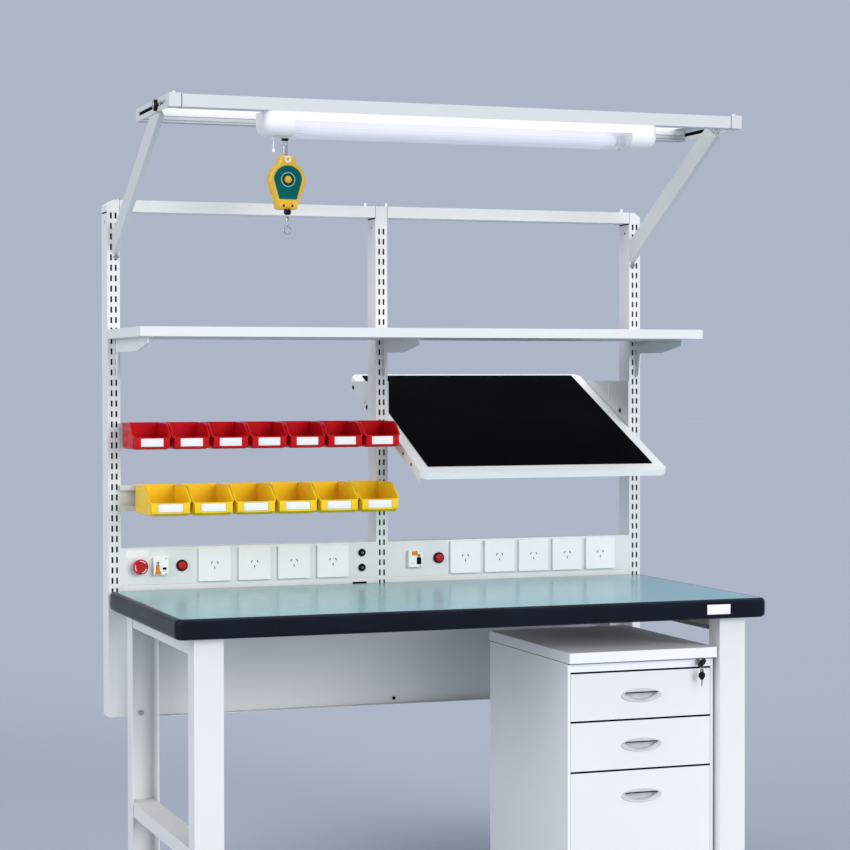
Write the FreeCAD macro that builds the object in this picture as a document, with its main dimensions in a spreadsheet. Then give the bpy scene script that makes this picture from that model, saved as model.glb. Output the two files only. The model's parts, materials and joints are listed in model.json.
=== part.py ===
import FreeCAD, Part
import math
import os
import re
import Sketcher

# ESD work table with slotted posts, overhead lamp frame, shelf, bins, tilt shelf, power
# trunkings and a drawer pedestal. Millimetres. X runs to the right, Y to the back, Z up.
# Inside this file Y counts from the worktop's front edge; each finished sub-part is moved
# so that the origin lies on the floor, in the middle of the whole table's outline.

SIZES = {
    # worktop
    "top_width": 1500,
    "top_depth": 750,
    "top_height": 750,
    "top_thick": 48,
    "laminate_thick": 1.5,
    "band_thick": 14,
    "band_round": 11,
    "corner_round": 24,
    # side frames
    "leg_width": 70,
    "leg_depth": 58,
    "leg_wall": 2.5,
    "leg_front_inset": 32,
    "leg_side_inset": 48,
    "foot_height": 25,
    "foot_radius": 24,
    "foot_pad": 10,
    "foot_neck": 11,
    "upper_rail_height": 42,
    "upper_rail_width": 40,
    "lower_rail_height": 36,
    "lower_rail_level": 174,
    "sheet": 1.5,
    "weld_gap": 0.3,
    # rear panel under the top
    "panel_height": 277,
    "panel_flange": 30,
    # slotted posts
    "post_width": 33,
    "post_depth": 68,
    "post_wall": 2,
    "post_bottom": 425,
    "post_top": 1725,
    "middle_offset": -9,
    "slot_width": 5,
    "slot_height": 15.5,
    "slot_pitch": 26.8,
    "slot_spacing": 12,
    "slot_margin": 12,
    "slot_sink": 8,
    "tie_thick": 3,
    "tie_reach": 62,
    # top beam
    "beam_height": 30,
    "beam_slope_run": 18,
    "beam_slope_drop": 12,
    # shelf
    "shelf_depth": 386,
    "shelf_thick": 24,
    "shelf_level": 1398,
    "shelf_gap": 2,
    "bracket_plate": 3,
    "bracket_flange": 16,
    "bracket_reach": 285,
    "bracket_reach_left": 372,
    "bracket_tip": 16,
    "bracket_knee": 34,
    "bracket_root": 64,
    "bracket_root_reach": 26,
    "bracket_bend": 120,
    # bins and their rails
    "rail_height": 66,
    "rail_depth": 14,
    "rail_lip": 13,
    "rail_overlap": 5,
    "rail_gap": 0.5,
    "hanger_thick": 2,
    "red_rail_top": 1182,
    "red_depth": 135,
    "red_height": 65,
    "red_inset": 33,
    "red_overrun": 5,
    "yellow_rail_top": 1022,
    "yellow_depth": 175,
    "yellow_height": 72,
    "yellow_inset": 66,
    "yellow_overrun": -11,
    "bin_gap": 2,
    "bin_wall": 2,
    "bin_front_share": 0.45,
    "bin_front_rake": 12,
    "bin_side_rake": 0.34,
    "bin_hanger": 60,
    # power trunkings
    "trunk_height": 95,
    "trunk_depth": 52,
    "trunk_lift": 14,
    "plate_size": 86,
    "plate_thick": 8,
    "plate_left_first": 0.3557,
    "plate_left_pitch": 0.1555,
    "plate_right_first": 0.3094,
    "plate_right_pitch": 0.1407,
    "pin_slot": 2.4,
    "pin_slot_length": 7,
    "pin_spacing": 8,
    "pin_rise": 5,
    "pin_depth": 4,
    "pin_tilt": 30,
    "estop_place": 0.068,
    "estop_radius": 20,
    "estop_collar": 13,
    "estop_proud": 18,
    "estop_travel": 4,
    "button_left_place": 0.2314,
    "button_right_place": 0.2037,
    "button_radius": 11,
    "button_collar": 15,
    "button_proud": 5,
    "collar_thick": 6,
    "stalk_radius": 4,
    "breaker_left_place": 0.1475,
    "breaker_right_place": 0.105,
    "breaker_width": 39,
    "breaker_height": 45,
    "breaker_depth": 14,
    "breaker_wall": 3,
    "lever_width": 8,
    "lever_hub": 6,
    "lever_reach": 12,
    "lever_offset": 9,
    "lever_rest": 25,
    "jack_place": 0.9414,
    "jack_rise": 20,
    "jack_radius": 10.5,
    "jack_proud": 6,
    "jack_bore": 2,
    "control_clearance": 0.4,
    # tilt shelf
    "hanger_plate": 3,
    "hanger_length": 325,
    "hanger_height": 156,
    "hanger_tail": 25,
    "hanger_bottom": 1132,
    "tilt_angle": 23.2,
    "tilt_length": 652,
    "tilt_height": 28,
    "tilt_border_side": 30,
    "tilt_border_front": 40,
    "tilt_border_rear": 15,
    "tilt_lip": 17,
    "tilt_wall": 2,
    "pivot_back": 195,
    "tilt_pivot_z": 1230,
    "tilt_rear_part": 164,
    "tilt_gap": 2.5,
    "tilt_corner": 14,
    "pivot_drop": 14,
    "pivot_radius": 5,
    "pivot_head": 8,
    "mat_thick": 3,
    # lamp arms and overhead frame
    "arm_width": 55,
    "arm_thick": 13,
    "arm_wall": 2,
    "arm_foot_z": 1647,
    "arm_tab_radius": 12,
    "arm_shoulder": 36,
    "arm_reach": 510,
    "clamp_radius": 4,
    "knob_radius": 14,
    "knob_thick": 11,
    "over_ahead": 125,
    "over_behind": 227,
    "over_bottom": 1922,
    "over_height": 32,
    "over_inset": 14.7,
    "over_wall": 2,
    "over_block": 31,
    "over_flange": 30,
    "over_slot": 8.8,
    "slot_ahead": 90,
    "slot_behind": 196,
    "rail_square": 30,
    "rail_mouth": 12,
    "stud_radius": 4,
    "stud_height": 6,
    # lamp under the front rail
    "lamp_half": 506,
    "lamp_cap": 73,
    "lamp_width": 104,
    "lamp_height": 56,
    "lamp_base_height": 22,
    "lamp_wall": 2,
    "lamp_round": 30,
    "lamp_end_round": 24,
    "tube_radius": 13,
    "tube_drop": 36,
    "pull_inset": 34,
    "pull_length": 31,
    "pull_radius": 1.2,
    "pull_bead": 3.5,
    "pull_nipple": 5,
    "pull_nipple_height": 5,
    "pull_travel": 12,
    # spring balancer on its trolley
    "balancer_x": -362,
    "trolley_length": 50,
    "trolley_gap": 0.4,
    "trolley_stem": 5,
    "trolley_eye": 14,
    "trolley_tip": 9.3,
    "link_top": 1897,
    "link_radius": 3.2,
    "case_top": 1851,
    "case_height": 135,
    "case_width": 97,
    "case_depth": 52,
    "case_wall": 3,
    "case_shoulder": 52,
    "case_neck": 34,
    "case_crown": 50,
    "case_ear": 30,
    "case_foot": 54,
    "case_corner": 12,
    "drum_radius": 26,
    "drum_thick": 20,
    "bumper_radius": 9,
    "bumper_height": 13,
    "hook_length": 60,
    "hook_radius": 9,
    "hook_wire": 2,
    "cable_radius": 1.2,
    "cable_reserve": 95,
    # drawer pedestal
    "ped_side_room": 4,
    "ped_width": 397,
    "ped_front": 38,
    "ped_depth": 538,
    "ped_headroom": 73,
    "slab_thick": 26,
    "slab_side": 2.5,
    "slab_nose": 18,
    "ped_wall": 7,
    "ped_back": 2,
    "lock_rail": 23,
    "lock_rail_depth": 20,
    "glide_height": 20,
    "glide_radius": 16,
    "glide_inset": 34,
    "ped_base": 45,
    "front_gap": 3,
    "side_gap": 1,
    "front_thick": 18,
    "front_skin": 2,
    "front_one": 117,
    "front_two": 120,
    "box_wall": 2,
    "box_side_gap": 16,
    "box_length": 480,
    "box_top_drop": 26,
    "box_bottom_rise": 10,
    "runner_width": 12,
    "runner_thick": 3,
    "runner_rise": 30,
    "runner_bar": 9,
    "runner_play": 0.3,
    "handle_width": 108,
    "handle_drop": 30,
    "handle_flange": 5,
    "handle_proud": 1.5,
    "handle_depth": 14,
    "handle_wall": 2,
    "handle_fit": 0.3,
    "handle_sink": 4,
    "handle_low": 66,
    # lock and keys
    "lock_inset": 44,
    "lock_radius": 8,
    "lock_play": 0.3,
    "lock_proud": 3,
    "key_turn": 40,
    "key_bow": 20,
    "key_bow_reach": 22,
    "key_thick": 3,
    "key_hole": 4,
    "key_shank": 8,
    "ring_radius": 9.2,
    "ring_wire": 0.9,
    "spare_bow": 9.5,
    "spare_bow_drop": 4.2,
    "spare_blade_drop": 8.5,
    "spare_blade": 6,
    "spare_length": 27,
    # fasteners
    "bolt_radius": 6.5,
    "bolt_head": 5,
}

doc = FreeCAD.newDocument("esd_work_table")
sheet = doc.addObject("Spreadsheet::Sheet", "Sizes")
for row, (alias, value) in enumerate(SIZES.items(), 1):
    sheet.set(f"A{row}", alias)
    sheet.set(f"B{row}", str(value))
    sheet.setAlias(f"B{row}", alias)
doc.recompute()

X_AXIS = FreeCAD.Vector(1, 0, 0)
Y_AXIS = FreeCAD.Vector(0, 1, 0)
Z_AXIS = FreeCAD.Vector(0, 0, 1)
ALONG = {
    "X": FreeCAD.Rotation(Y_AXIS, 90),
    "Y": FreeCAD.Rotation(X_AXIS, -90),
    "Z": FreeCAD.Rotation(),
}


def bound(text):
    """Write a formula of size names as an expression on the sheet's cells."""
    return re.sub(r"[a-z][a-z_]*", lambda word: "Sizes." + word[0] if word[0] in SIZES else word[0], text)


def bind(item, prop, text):
    item.setExpression(prop, bound(str(text)))


def put(item, at):
    """Tie an object's place to three formulas."""
    for axis, text in zip("xyz", at):
        bind(item, f"Placement.Base.{axis}", text)
    return item


def block(name, size, at):
    item = doc.addObject("Part::Box", name)
    for prop, text in zip(("Length", "Width", "Height"), size):
        bind(item, prop, text)
    return put(item, at)


def rod(name, radius, length, at, along):
    item = doc.addObject("Part::Cylinder", name)
    bind(item, "Radius", radius)
    bind(item, "Height", length)
    item.Placement.Rotation = ALONG[along]
    return put(item, at)


def group(name, *items):
    item = doc.addObject("Part::Compound", name)
    item.Links = list(items)
    return item


def fuse(name, *items):
    item = doc.addObject("Part::MultiFuse", name)
    item.Shapes = list(items)
    return item


def cut(name, base, *tools):
    item = doc.addObject("Part::Cut", name)
    item.Base = base
    item.Tool = tools[0] if len(tools) == 1 else fuse(name + "_tools", *tools)
    return item


def common(name, first, second):
    item = doc.addObject("Part::Common", name)
    item.Base = first
    item.Tool = second
    return item


def mirror(name, source):
    item = doc.addObject("Part::Mirroring", name)
    item.Source = source
    item.Normal = X_AXIS
    return item


def copy_at(name, source, at):
    return put(group(name, source), at)


def turned(name, source, axis, angle, at):
    """A solid drawn at the origin, turned about an axis through it and then placed."""
    item = group(name, source)
    item.Placement.Rotation = FreeCAD.Rotation(axis, 1)
    bind(item, "Placement.Rotation.Angle", angle)
    return put(item, at)


def outline(body, plane, corners):
    """A closed sketch of straight lines, each corner held by two formulas."""
    sketch = body.newObject("Sketcher::SketchObject", body.Name + "_outline")
    sketch.AttachmentSupport = [(next(f for f in body.Origin.OriginFeatures if f.Role == plane), "")]
    sketch.MapMode = "FlatFace"
    count = len(corners)
    turns = [2 * math.pi * index / count for index in range(count)]
    starts = [FreeCAD.Vector(math.cos(turn), math.sin(turn), 0) for turn in turns]
    for index in range(count):
        sketch.addGeometry(Part.LineSegment(starts[index], starts[(index + 1) % count]))
    for index in range(count):
        sketch.addConstraint(Sketcher.Constraint("Coincident", index, 2, (index + 1) % count, 1))
    for index, corner in enumerate(corners):
        for kind, text, value in zip(("DistanceX", "DistanceY"), corner, starts[index]):
            number = sketch.addConstraint(Sketcher.Constraint(kind, -1, 1, index, 1, value))
            bind(sketch, f"Constraints[{number}]", text)
    return sketch


def prism(name, plane, corners, depth, at=("0", "0", "0")):
    """A body padded from a straight-sided outline on one of its origin planes."""
    body = doc.addObject("PartDesign::Body", name)
    pad = body.newObject("PartDesign::Pad", name + "_pad")
    pad.Profile = outline(body, plane, corners)
    pad.Reversed = plane == "XZ_Plane"
    bind(pad, "Length", depth)
    return put(body, at)


def edge_names(shape, wanted):
    return [f"Edge{number}" for number, edge in enumerate(shape.Edges, 1) if wanted(edge)]


def upright(edge):
    first, last = edge.Vertexes[0].Point, edge.Vertexes[-1].Point
    straight = (first - last).cross(Z_AXIS).Length < 0.01
    return len(edge.Vertexes) == 2 and abs(first.z - last.z) > 1 and straight


def lengthwise(edge):
    first, last = edge.Vertexes[0].Point, edge.Vertexes[-1].Point
    return len(edge.Vertexes) == 2 and (first - last).cross(X_AXIS).Length < 0.01


def crosswise(edge):
    first, last = edge.Vertexes[0].Point, edge.Vertexes[-1].Point
    return len(edge.Vertexes) == 2 and (first - last).cross(Y_AXIS).Length < 0.01


def rounded(body, name, radius, wanted):
    """Round the edges of a body that pass a test."""
    doc.recompute()
    base, edges = body.Tip, edge_names(body.Shape, wanted)
    fillet = body.newObject("PartDesign::Fillet", name)
    fillet.Base = (base, edges)
    bind(fillet, "Radius", radius)
    body.Tip = fillet
    return body


nodes = {}

# The whole table's depth runs from the worktop's front edge to the tilt shelf's lower rear edge.
PIVOT_Y = "(top_depth + pivot_back)"
REACH = f"({PIVOT_Y} + tilt_rear_part * cos(tilt_angle) + (tilt_height - pivot_drop) * sin(tilt_angle))"


def node(label, *solids):
    """A finished sub-part: its solids together, moved to the shared origin."""
    item = group("node_" + label, *solids)
    item.Label = label
    bind(item, "Placement.Base.y", f"-{REACH} / 2")
    nodes[label] = item


HALF = "top_width / 2"
UNDER = "(top_height - top_thick)"
LEG_OUT = f"({HALF} - leg_side_inset)"
LEG_IN = f"({LEG_OUT} - leg_width)"
REAR_LEG = "(top_depth - leg_depth)"
POST_IN = f"({HALF} - post_width)"
MIDDLE_LEFT = "(middle_offset - post_width / 2)"
MIDDLE_RIGHT = "(middle_offset + post_width / 2)"
CLAMP_Y = "(top_depth - arm_reach)"
OVER_HALF = f"({HALF} - over_inset)"
OVER_FRONT = f"({CLAMP_Y} - over_ahead)"
OVER_REAR = f"({CLAMP_Y} + over_behind)"
PED_LEFT = f"({LEG_IN} - ped_side_room - ped_width)"
PED_HEIGHT = f"({UNDER} - ped_headroom)"


# Worktop: chipboard core, conductive laminate and a rounded edge band
def worktop():
    def plate(name, inset, thick, level):
        corners = [
            (f"-({HALF} - {inset})", inset),
            (f"{HALF} - {inset}", inset),
            (f"{HALF} - {inset}", f"top_depth - {inset}"),
            (f"-({HALF} - {inset})", f"top_depth - {inset}"),
        ]
        body = prism(name, "XY_Plane", corners, thick, ("0", "0", level))
        return rounded(body, name + "_corners", f"corner_round - {inset}", upright)

    core_thick = "(top_thick - laminate_thick)"
    node("worktop_board", plate("board", "band_thick", core_thick, UNDER))
    node("worktop_laminate", plate("laminate", "band_thick", "laminate_thick", f"{UNDER} + {core_thick}"))
    ring = plate("band", "0", "top_thick", UNDER)
    rounded(ring, "band_nose", "band_round", lambda edge: not upright(edge))
    hollow = plate("band_hollow", "band_thick", "top_thick", UNDER)
    node("worktop_edge", cut("edge_ring", ring, hollow))


# Side frames: channel legs that face each other, with rails that seat in their channels
def side_frames():
    leg_base = "foot_height"
    leg_height = f"({UNDER} - foot_height)"

    def leg(name, front, hollow_front):
        shell = block(name, ("leg_width", "leg_depth", leg_height), (LEG_IN, front, leg_base))
        size = ("leg_width - 2 * leg_wall", "leg_depth - leg_wall", f"{leg_height} - leg_wall")
        hollow = block(
            name + "_hollow",
            size,
            (f"{LEG_IN} + leg_wall", hollow_front, f"{leg_base} + leg_wall"),
        )
        right = cut(name + "_right", shell, hollow)
        return right, mirror(name + "_left", right)

    node("front_legs", *leg("front_leg", "leg_front_inset", "leg_front_inset + leg_wall"))
    node("rear_legs", *leg("rear_leg", REAR_LEG, REAR_LEG))

    run = "(top_depth - leg_front_inset - 2 * leg_wall)"
    start = "leg_front_inset + leg_wall"
    side_room = "(leg_wall + weld_gap)"

    def rail(name, width, height, level, open_below):
        left = f"({LEG_OUT} - {side_room} - {width})"
        bar = block(name, (width, run, height), (left, start, level))
        hollow_level = level if open_below else f"{level} + sheet"
        hollow_left = f"{left} + sheet" if open_below else left
        hollow_width = f"{width} - 2 * sheet" if open_below else f"{width} - sheet"
        hollow_height = f"{height} - sheet" if open_below else f"{height} - 2 * sheet"
        hollow = block(
            name + "_hollow",
            (hollow_width, run, hollow_height),
            (hollow_left, start, hollow_level),
        )
        right = cut(name + "_right", bar, hollow)
        return right, mirror(name + "_left", right)

    upper = rail(
        "upper_rail",
        "upper_rail_width",
        "upper_rail_height",
        f"{UNDER} - upper_rail_height",
        False,
    )
    lower_width = f"(leg_width - 2 * {side_room})"
    lower = rail("lower_rail", lower_width, "lower_rail_height", "lower_rail_level", True)
    node("side_rails", *upper, *lower)

    centre = f"({LEG_IN} + leg_width / 2)"
    feet = []
    for place, y in (("front", "leg_front_inset + leg_depth / 2"), ("rear", f"{REAR_LEG} + leg_depth / 2")):
        pad = rod(f"{place}_foot_pad", "foot_radius", "foot_pad", (centre, y, "0"), "Z")
        neck = rod(f"{place}_foot_neck", "foot_neck", "foot_height", (centre, y, "0"), "Z")
        foot = fuse(f"{place}_foot", pad, neck)
        feet += [foot, mirror(f"{place}_foot_left", foot)]
    node("levelling_feet", *feet)

    face = "(top_depth - sheet)"
    bottom = f"({UNDER} - panel_height)"
    span = f"(2 * {LEG_IN})"
    skin = block("panel_skin", (span, "sheet", "panel_height"), (f"-{LEG_IN}", face, bottom))
    size = ("sheet", "panel_flange", "panel_height")
    flange = block("panel_flange", size, (f"{LEG_IN} - sheet", "top_depth - panel_flange", bottom))
    hem = block(
        "panel_hem",
        (span, "panel_flange", "sheet"),
        (f"-{LEG_IN}", "top_depth - panel_flange", bottom),
    )
    node("modesty_panel", fuse("panel", skin, flange, mirror("panel_flange_left", flange), hem))


# Slotted posts, the plates that tie them to the table and the beam on their tops
def posts():
    body = prism(
        "post",
        "XY_Plane",
        [
            ("-post_width / 2", "0"),
            ("post_width / 2", "0"),
            ("post_width / 2", "post_depth"),
            ("-post_width / 2", "post_depth"),
        ],
        "post_top - post_bottom",
    )
    room = body.newObject("PartDesign::Pocket", "post_bore")
    room.Profile = outline(
        body,
        "XY_Plane",
        [
            ("-post_width / 2 + post_wall", "post_wall"),
            ("post_width / 2 - post_wall", "post_wall"),
            ("post_width / 2 - post_wall", "post_depth - post_wall"),
            ("-post_width / 2 + post_wall", "post_depth - post_wall"),
        ],
    )
    room.Type = "ThroughAll"
    room.Midplane = True
    # The slots start behind the worktop's rear edge, just under its surface.
    first = "(top_height - slot_sink - post_bottom)"
    slots = []
    for side, sign in (("left", "-1"), ("right", "1")):
        slot = body.newObject("PartDesign::Pocket", f"slot_{side}")
        low = f"{sign} * slot_spacing / 2 - slot_width / 2"
        high = f"{sign} * slot_spacing / 2 + slot_width / 2"
        slot.Profile = outline(
            body,
            "XZ_Plane",
            [
                (low, first),
                (high, first),
                (high, f"{first} + slot_height"),
                (low, f"{first} + slot_height"),
            ],
        )
        slot.Reversed = False
        slot.Midplane = True
        bind(slot, "Length", "2 * post_wall + 1")
        slots.append(slot)
    run = f"post_top - post_bottom - {first} - slot_margin - slot_height"
    rows = f"(floor(({run}) / slot_pitch) + 1)"
    pattern = body.newObject("PartDesign::LinearPattern", "slot_rows")
    pattern.Originals = slots
    pattern.Direction = (next(f for f in body.Origin.OriginFeatures if f.Role == "Z_Axis"), [""])
    bind(pattern, "Length", f"({rows} - 1) * slot_pitch")
    bind(pattern, "Occurrences", rows)
    body.Tip = pattern
    centre = f"({HALF} - post_width / 2)"
    node("post_left", copy_at("left_post", body, (f"-{centre}", "top_depth", "post_bottom")))
    node("post_middle", copy_at("middle_post", body, ("middle_offset", "top_depth", "post_bottom")))
    node("post_right", copy_at("right_post", body, (centre, "top_depth", "post_bottom")))

    height = f"({UNDER} - post_bottom)"

    def tie(name, wall):
        web = block(name + "_web", ("tie_reach", "tie_thick", height), (wall, "top_depth", "post_bottom"))
        side = block(
            name + "_side",
            ("tie_thick", "post_depth", height),
            (wall, "top_depth", "post_bottom"),
        )
        return fuse(name, web, side)

    left = tie("left_tie", f"-{POST_IN}")
    node("post_ties", left, tie("middle_tie", MIDDLE_RIGHT), mirror("right_tie", left))

    top = "post_top + beam_height"
    corners = [
        (f"-{HALF}", "post_top"),
        (HALF, "post_top"),
        (HALF, f"{top} - beam_slope_drop"),
        (f"{HALF} - beam_slope_run", top),
        (f"-({HALF} - beam_slope_run)", top),
        (f"-{HALF}", f"{top} - beam_slope_drop"),
    ]
    bar = prism("beam_bar", "XZ_Plane", corners, "post_depth", ("0", "top_depth", "0"))
    inner = f"({HALF} - post_width)"
    size = (f"2 * {inner}", "post_depth - sheet", "beam_height - 2 * sheet")
    hollow = block("beam_hollow", size, (f"-{inner}", "top_depth + sheet", "post_top + sheet"))
    node("top_beam", cut("beam", bar, hollow))


# Full-width shelf on three cantilever brackets
def shelf():
    front = "(top_depth - shelf_gap - shelf_depth)"
    tray = block(
        "shelf_tray",
        ("top_width", "shelf_depth", "shelf_thick"),
        (f"-{HALF}", front, "shelf_level"),
    )
    size = ("top_width - 2 * sheet", "shelf_depth - sheet", "shelf_thick - 2 * sheet")
    hollow = block("shelf_hollow", size, (f"-{HALF} + sheet", f"{front} + sheet", "shelf_level + sheet"))
    node("shelf", cut("shelf_box", tray, hollow))

    def bracket(name, x, reach, flange_x):
        corners = [
            ("top_depth", "shelf_level"),
            ("top_depth", "shelf_level - bracket_root - bracket_knee"),
            ("top_depth - bracket_root_reach / 2", "shelf_level - bracket_root - bracket_knee"),
            ("top_depth - bracket_root_reach", "shelf_level - bracket_knee"),
            (f"top_depth - {reach} + bracket_bend", "shelf_level - bracket_knee"),
            (f"top_depth - {reach}", "shelf_level - bracket_tip"),
            (f"top_depth - {reach}", "shelf_level"),
        ]
        plate = prism(name + "_plate", "YZ_Plane", corners, "bracket_plate", (x, "0", "0"))
        size = ("bracket_flange", reach, "bracket_plate")
        flange = block(
            name + "_flange",
            size,
            (flange_x, f"top_depth - {reach}", "shelf_level - bracket_plate"),
        )
        return fuse(name, plate, flange)

    # Each plate hooks into the right-hand slot column of its post.
    column = "slot_spacing / 2 - bracket_plate / 2"
    left_x = f"-({HALF} - post_width / 2) + {column}"
    middle_x = f"middle_offset + {column}"
    right_x = f"{HALF} - post_width / 2 + {column}"
    node(
        "shelf_brackets",
        bracket("left_bracket", left_x, "bracket_reach_left", left_x),
        bracket("middle_bracket", middle_x, "bracket_reach", middle_x),
        bracket("right_bracket", right_x, "bracket_reach", f"{right_x} + bracket_plate - bracket_flange"),
    )


# Two rails between the left and middle posts with rows of open-fronted bins
def bins():
    rails = []
    left = f"(-{POST_IN} - rail_overlap)"
    length = f"({MIDDLE_LEFT} + rail_overlap - {left})"
    for colour in ("red", "yellow"):
        bottom = f"{colour}_rail_top - rail_height"
        back = "top_depth - rail_depth"
        bar = block(f"{colour}_rail_bar", (length, "rail_depth", "rail_height"), (left, back, bottom))
        size = (length, "rail_depth - 2 * sheet", "rail_height - 2 * sheet")
        hollow = block(f"{colour}_rail_hollow", size, (left, f"{back} + sheet", f"{bottom} + sheet"))
        size = (length, "sheet", "rail_height - 2 * rail_lip")
        mouth = block(f"{colour}_rail_mouth", size, (left, back, f"{bottom} + rail_lip"))
        rails.append(cut(f"{colour}_rail", bar, hollow, mouth))
    node("bin_rails", *rails)

    def bin_row(colour, count):
        start = f"({colour}_inset - {HALF})"
        pitch = f"((middle_offset + {colour}_overrun - {start}) / {count})"
        width = f"({pitch} - bin_gap)"
        depth, height = f"{colour}_depth", f"{colour}_height"
        lip = f"bin_front_share * {height}"
        rake = f"bin_side_rake * {depth}"
        shell = prism(
            f"{colour}_bin_shell",
            "YZ_Plane",
            [
                ("0", f"-{height}"),
                ("0", "0"),
                (f"-({depth} - {rake})", "0"),
                (f"-{depth}", f"-{height} + {lip}"),
                (f"-{depth} + bin_front_rake / 4", f"-{height} + {lip} / 3"),
                (f"-{depth} + bin_front_rake", f"-{height}"),
            ],
            width,
        )
        room = prism(
            f"{colour}_bin_room",
            "YZ_Plane",
            [
                ("-bin_wall", f"-{height} + bin_wall"),
                ("-bin_wall", "bin_wall"),
                (f"-{depth} - bin_wall", "bin_wall"),
                (f"-{depth} - bin_wall", f"-{height} + {lip}"),
                (f"-{depth} + bin_wall", f"-{height} + {lip}"),
                (f"-{depth} + bin_front_rake / 4 + bin_wall", f"-{height} + {lip} / 3"),
                (f"-{depth} + bin_front_rake + bin_wall", f"-{height} + bin_wall"),
            ],
            f"{width} - 2 * bin_wall",
            ("bin_wall", "0", "0"),
        )
        size = ("bin_hanger", "rail_gap + rail_depth - sheet", "hanger_thick")
        hanger = block(f"{colour}_hanger", size, (f"({width} - bin_hanger) / 2", "0", "-hanger_thick"))
        tub = fuse(f"{colour}_tub", cut(f"{colour}_bin", shell, room), hanger)
        back = "top_depth - rail_depth - rail_gap"
        level = f"{colour}_rail_top + hanger_thick"
        row = [
            copy_at(f"{colour}_bin_{index}", tub, (f"{start} + {index} * {pitch}", back, level))
            for index in range(count)
        ]
        node(f"{colour}_bins", *row)

    bin_row("red", 7)
    bin_row("yellow", 6)


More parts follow.
